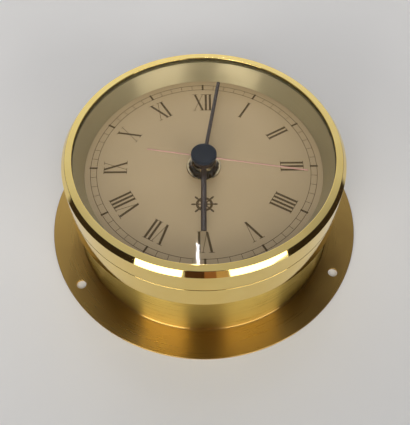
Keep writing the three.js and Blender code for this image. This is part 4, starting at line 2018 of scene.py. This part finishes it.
@dataclass
class Studio:
    """Table, room light, light panels and low cards.

    Attributes:
        table_radius: Radius of the table.
        table_flat: Share of that radius that is flat.
        cove: Height that the table's far edge curves up to.
        cove_steps: Steps up that curve.
        drop: Gap between the table and the flange.
        front: Brightness of the room in front of the clock and to its sides.
        back: Brightness of the room behind it.
        glow: What the room gains low down behind the clock.
        turnover: Where the room goes from front to back, by the share of a direction that points back.
        dusk: Share of its brightness that it loses to the right.
        nightfall: Where that sets in, by the share of a direction that points right.
        margin: Where it goes from back to sides, by how far a direction goes sideways for each step back.
        low_down: Where the glow sets in, by the share of a direction that points back.
        tint: Colour of the room's light.
        panels: The light panels.
        cards: The low cards.
    """

    table_radius: float = 3000.0
    table_flat: float = 0.8
    cove: float = 420.0
    cove_steps: int = 12
    drop: float = 0.05
    front: float = 0.06
    back: float = 0.46
    glow: float = 0.42
    turnover: Point = (0.12, 0.3)
    dusk: float = 0.12
    nightfall: Point = (-0.05, 0.35)
    margin: Point = (0.6, 0.78)
    low_down: Point = (0.3, 0.9)
    tint: Colour = (0.97, 0.98, 1.04)
    panels: tuple[SoftPanel, ...] = (
        SoftPanel(bearing=-29.5, height=17.8, distance=2000, width=1109, rise=1240, radiance=4.7),
        SoftPanel(bearing=34.5, height=17.8, distance=2000, width=1416, rise=1240, radiance=3.7),
        SoftPanel(
            bearing=-5, height=50, distance=4000, width=3200, rise=2600, radiance=2.56, mirrored=False
        ),
        SoftPanel(bearing=180.7, height=62.3, distance=1420, width=9.5, rise=70, radiance=200),
    )
    cards: tuple[LowCard, ...] = (
        LowCard(-97, -40, LEFT_CARD, radius=205.0, height=80.0),
        LowCard(-11.6, -0.4, BROWN_CARD),
        LowCard(-0.4, 6.3, TAN_CARD),
        LowCard(6.3, 13, STRAW_CARD),
        LowCard(46, 105, RIGHT_CARD, radius=165.0, height=72.0),
    )

    def build(self) -> None:
        """Makes the table, the room, the lamps and the cards."""
        edge = self.table_radius * self.table_flat
        sheet = [(0.0, -self.drop), (edge, -self.drop)]
        for step in range(1, self.cove_steps + 1):
            share = step / self.cove_steps
            reach = edge + (self.table_radius - edge) * share
            sheet.append((reach, self.cove * share * share - self.drop))
        table = turned("table_top", sheet, closed=False)
        table.data.materials.append(TABLE.material())
        self.light_room()
        for number, panel in enumerate(self.panels, 1):
            panel.build(f"soft_panel_{number}")
        for number, card in enumerate(self.cards, 1):
            card.build(f"dark_card_{number}")

    def light_room(self) -> None:
        """Lights the room, which is bright behind the clock and dark elsewhere."""
        world = bpy.data.worlds.new("room")
        bpy.context.scene.world = world
        tree = Tree(world)
        aside, away, _ = tree.split(tree.node("ShaderNodeTexCoord", output="Generated"))
        behind = away.rise(*self.turnover) * (1 - (aside.size() / away).rise(*self.margin))
        behind = behind * (1 - aside.rise(*self.nightfall) * self.dusk)
        level = behind * (away.rise(*self.low_down) * self.glow + self.back) + self.front
        colour = tree.ramp(level, ((0.0, (0.0, 0.0, 0.0)), (1.0, self.tint)))
        light = tree.node("ShaderNodeBackground", {}, {"Color": colour, "Strength": 1.0})
        tree.show(light, "ShaderNodeOutputWorld")


@dataclass
class PhotoCamera:
    """Camera at the photograph's viewing angle.

    Attributes:
        elevation: Height above the table, in degrees.
        bearing: Angle from straight ahead, to the right, in degrees.
        distance: Distance from the point looked at.
        target: Point looked at.
        focal: Focal length in pixels.
        image: Width and height of the picture in pixels.
        sensor: Width that stands for the picture's long side.
        near: Distance from which it sees.
    """

    elevation: float = 55.6
    bearing: float = -0.76
    distance: float = 323.8
    target: Place = (0.4, -9.6, 20.0)
    focal: float = 684.0
    image: tuple[int, int] = (410, 425)
    sensor: float = 36.0
    near: float = 10.0

    def build(self) -> None:
        """Makes the camera and hands it to the scene."""
        back = heading(self.bearing, self.elevation)
        lens = bpy.data.cameras.new("photo_camera")
        lens.sensor_width = self.sensor
        lens.lens = self.focal / max(self.image) * self.sensor
        lens.clip_start = self.near * MM
        camera = bpy.data.objects.new("photo_camera", lens)
        camera.location = (Vector(self.target) + back * self.distance) * MM
        camera.rotation_mode = "QUATERNION"
        camera.rotation_quaternion = back.to_track_quat("Z", "Y")
        bpy.context.scene.collection.objects.link(camera)
        bpy.context.scene.camera = camera


def main() -> None:
    """Builds the clock and its studio in order."""
    logging.basicConfig(level=logging.INFO, format="%(name)s: %(message)s")
    bpy.context.scene.view_settings.view_transform = "Standard"
    assemblies = (DrumCase(), CollarAndBezel(), Window(), Dial(), BushStack(), Hands(), Movement())
    for assembly in assemblies:
        for piece in assembly.build():
            log.info("%s: %s", type(assembly).__name__, piece.name)
    Studio().build()
    PhotoCamera().build()


if __name__ == "__main__":
    main()
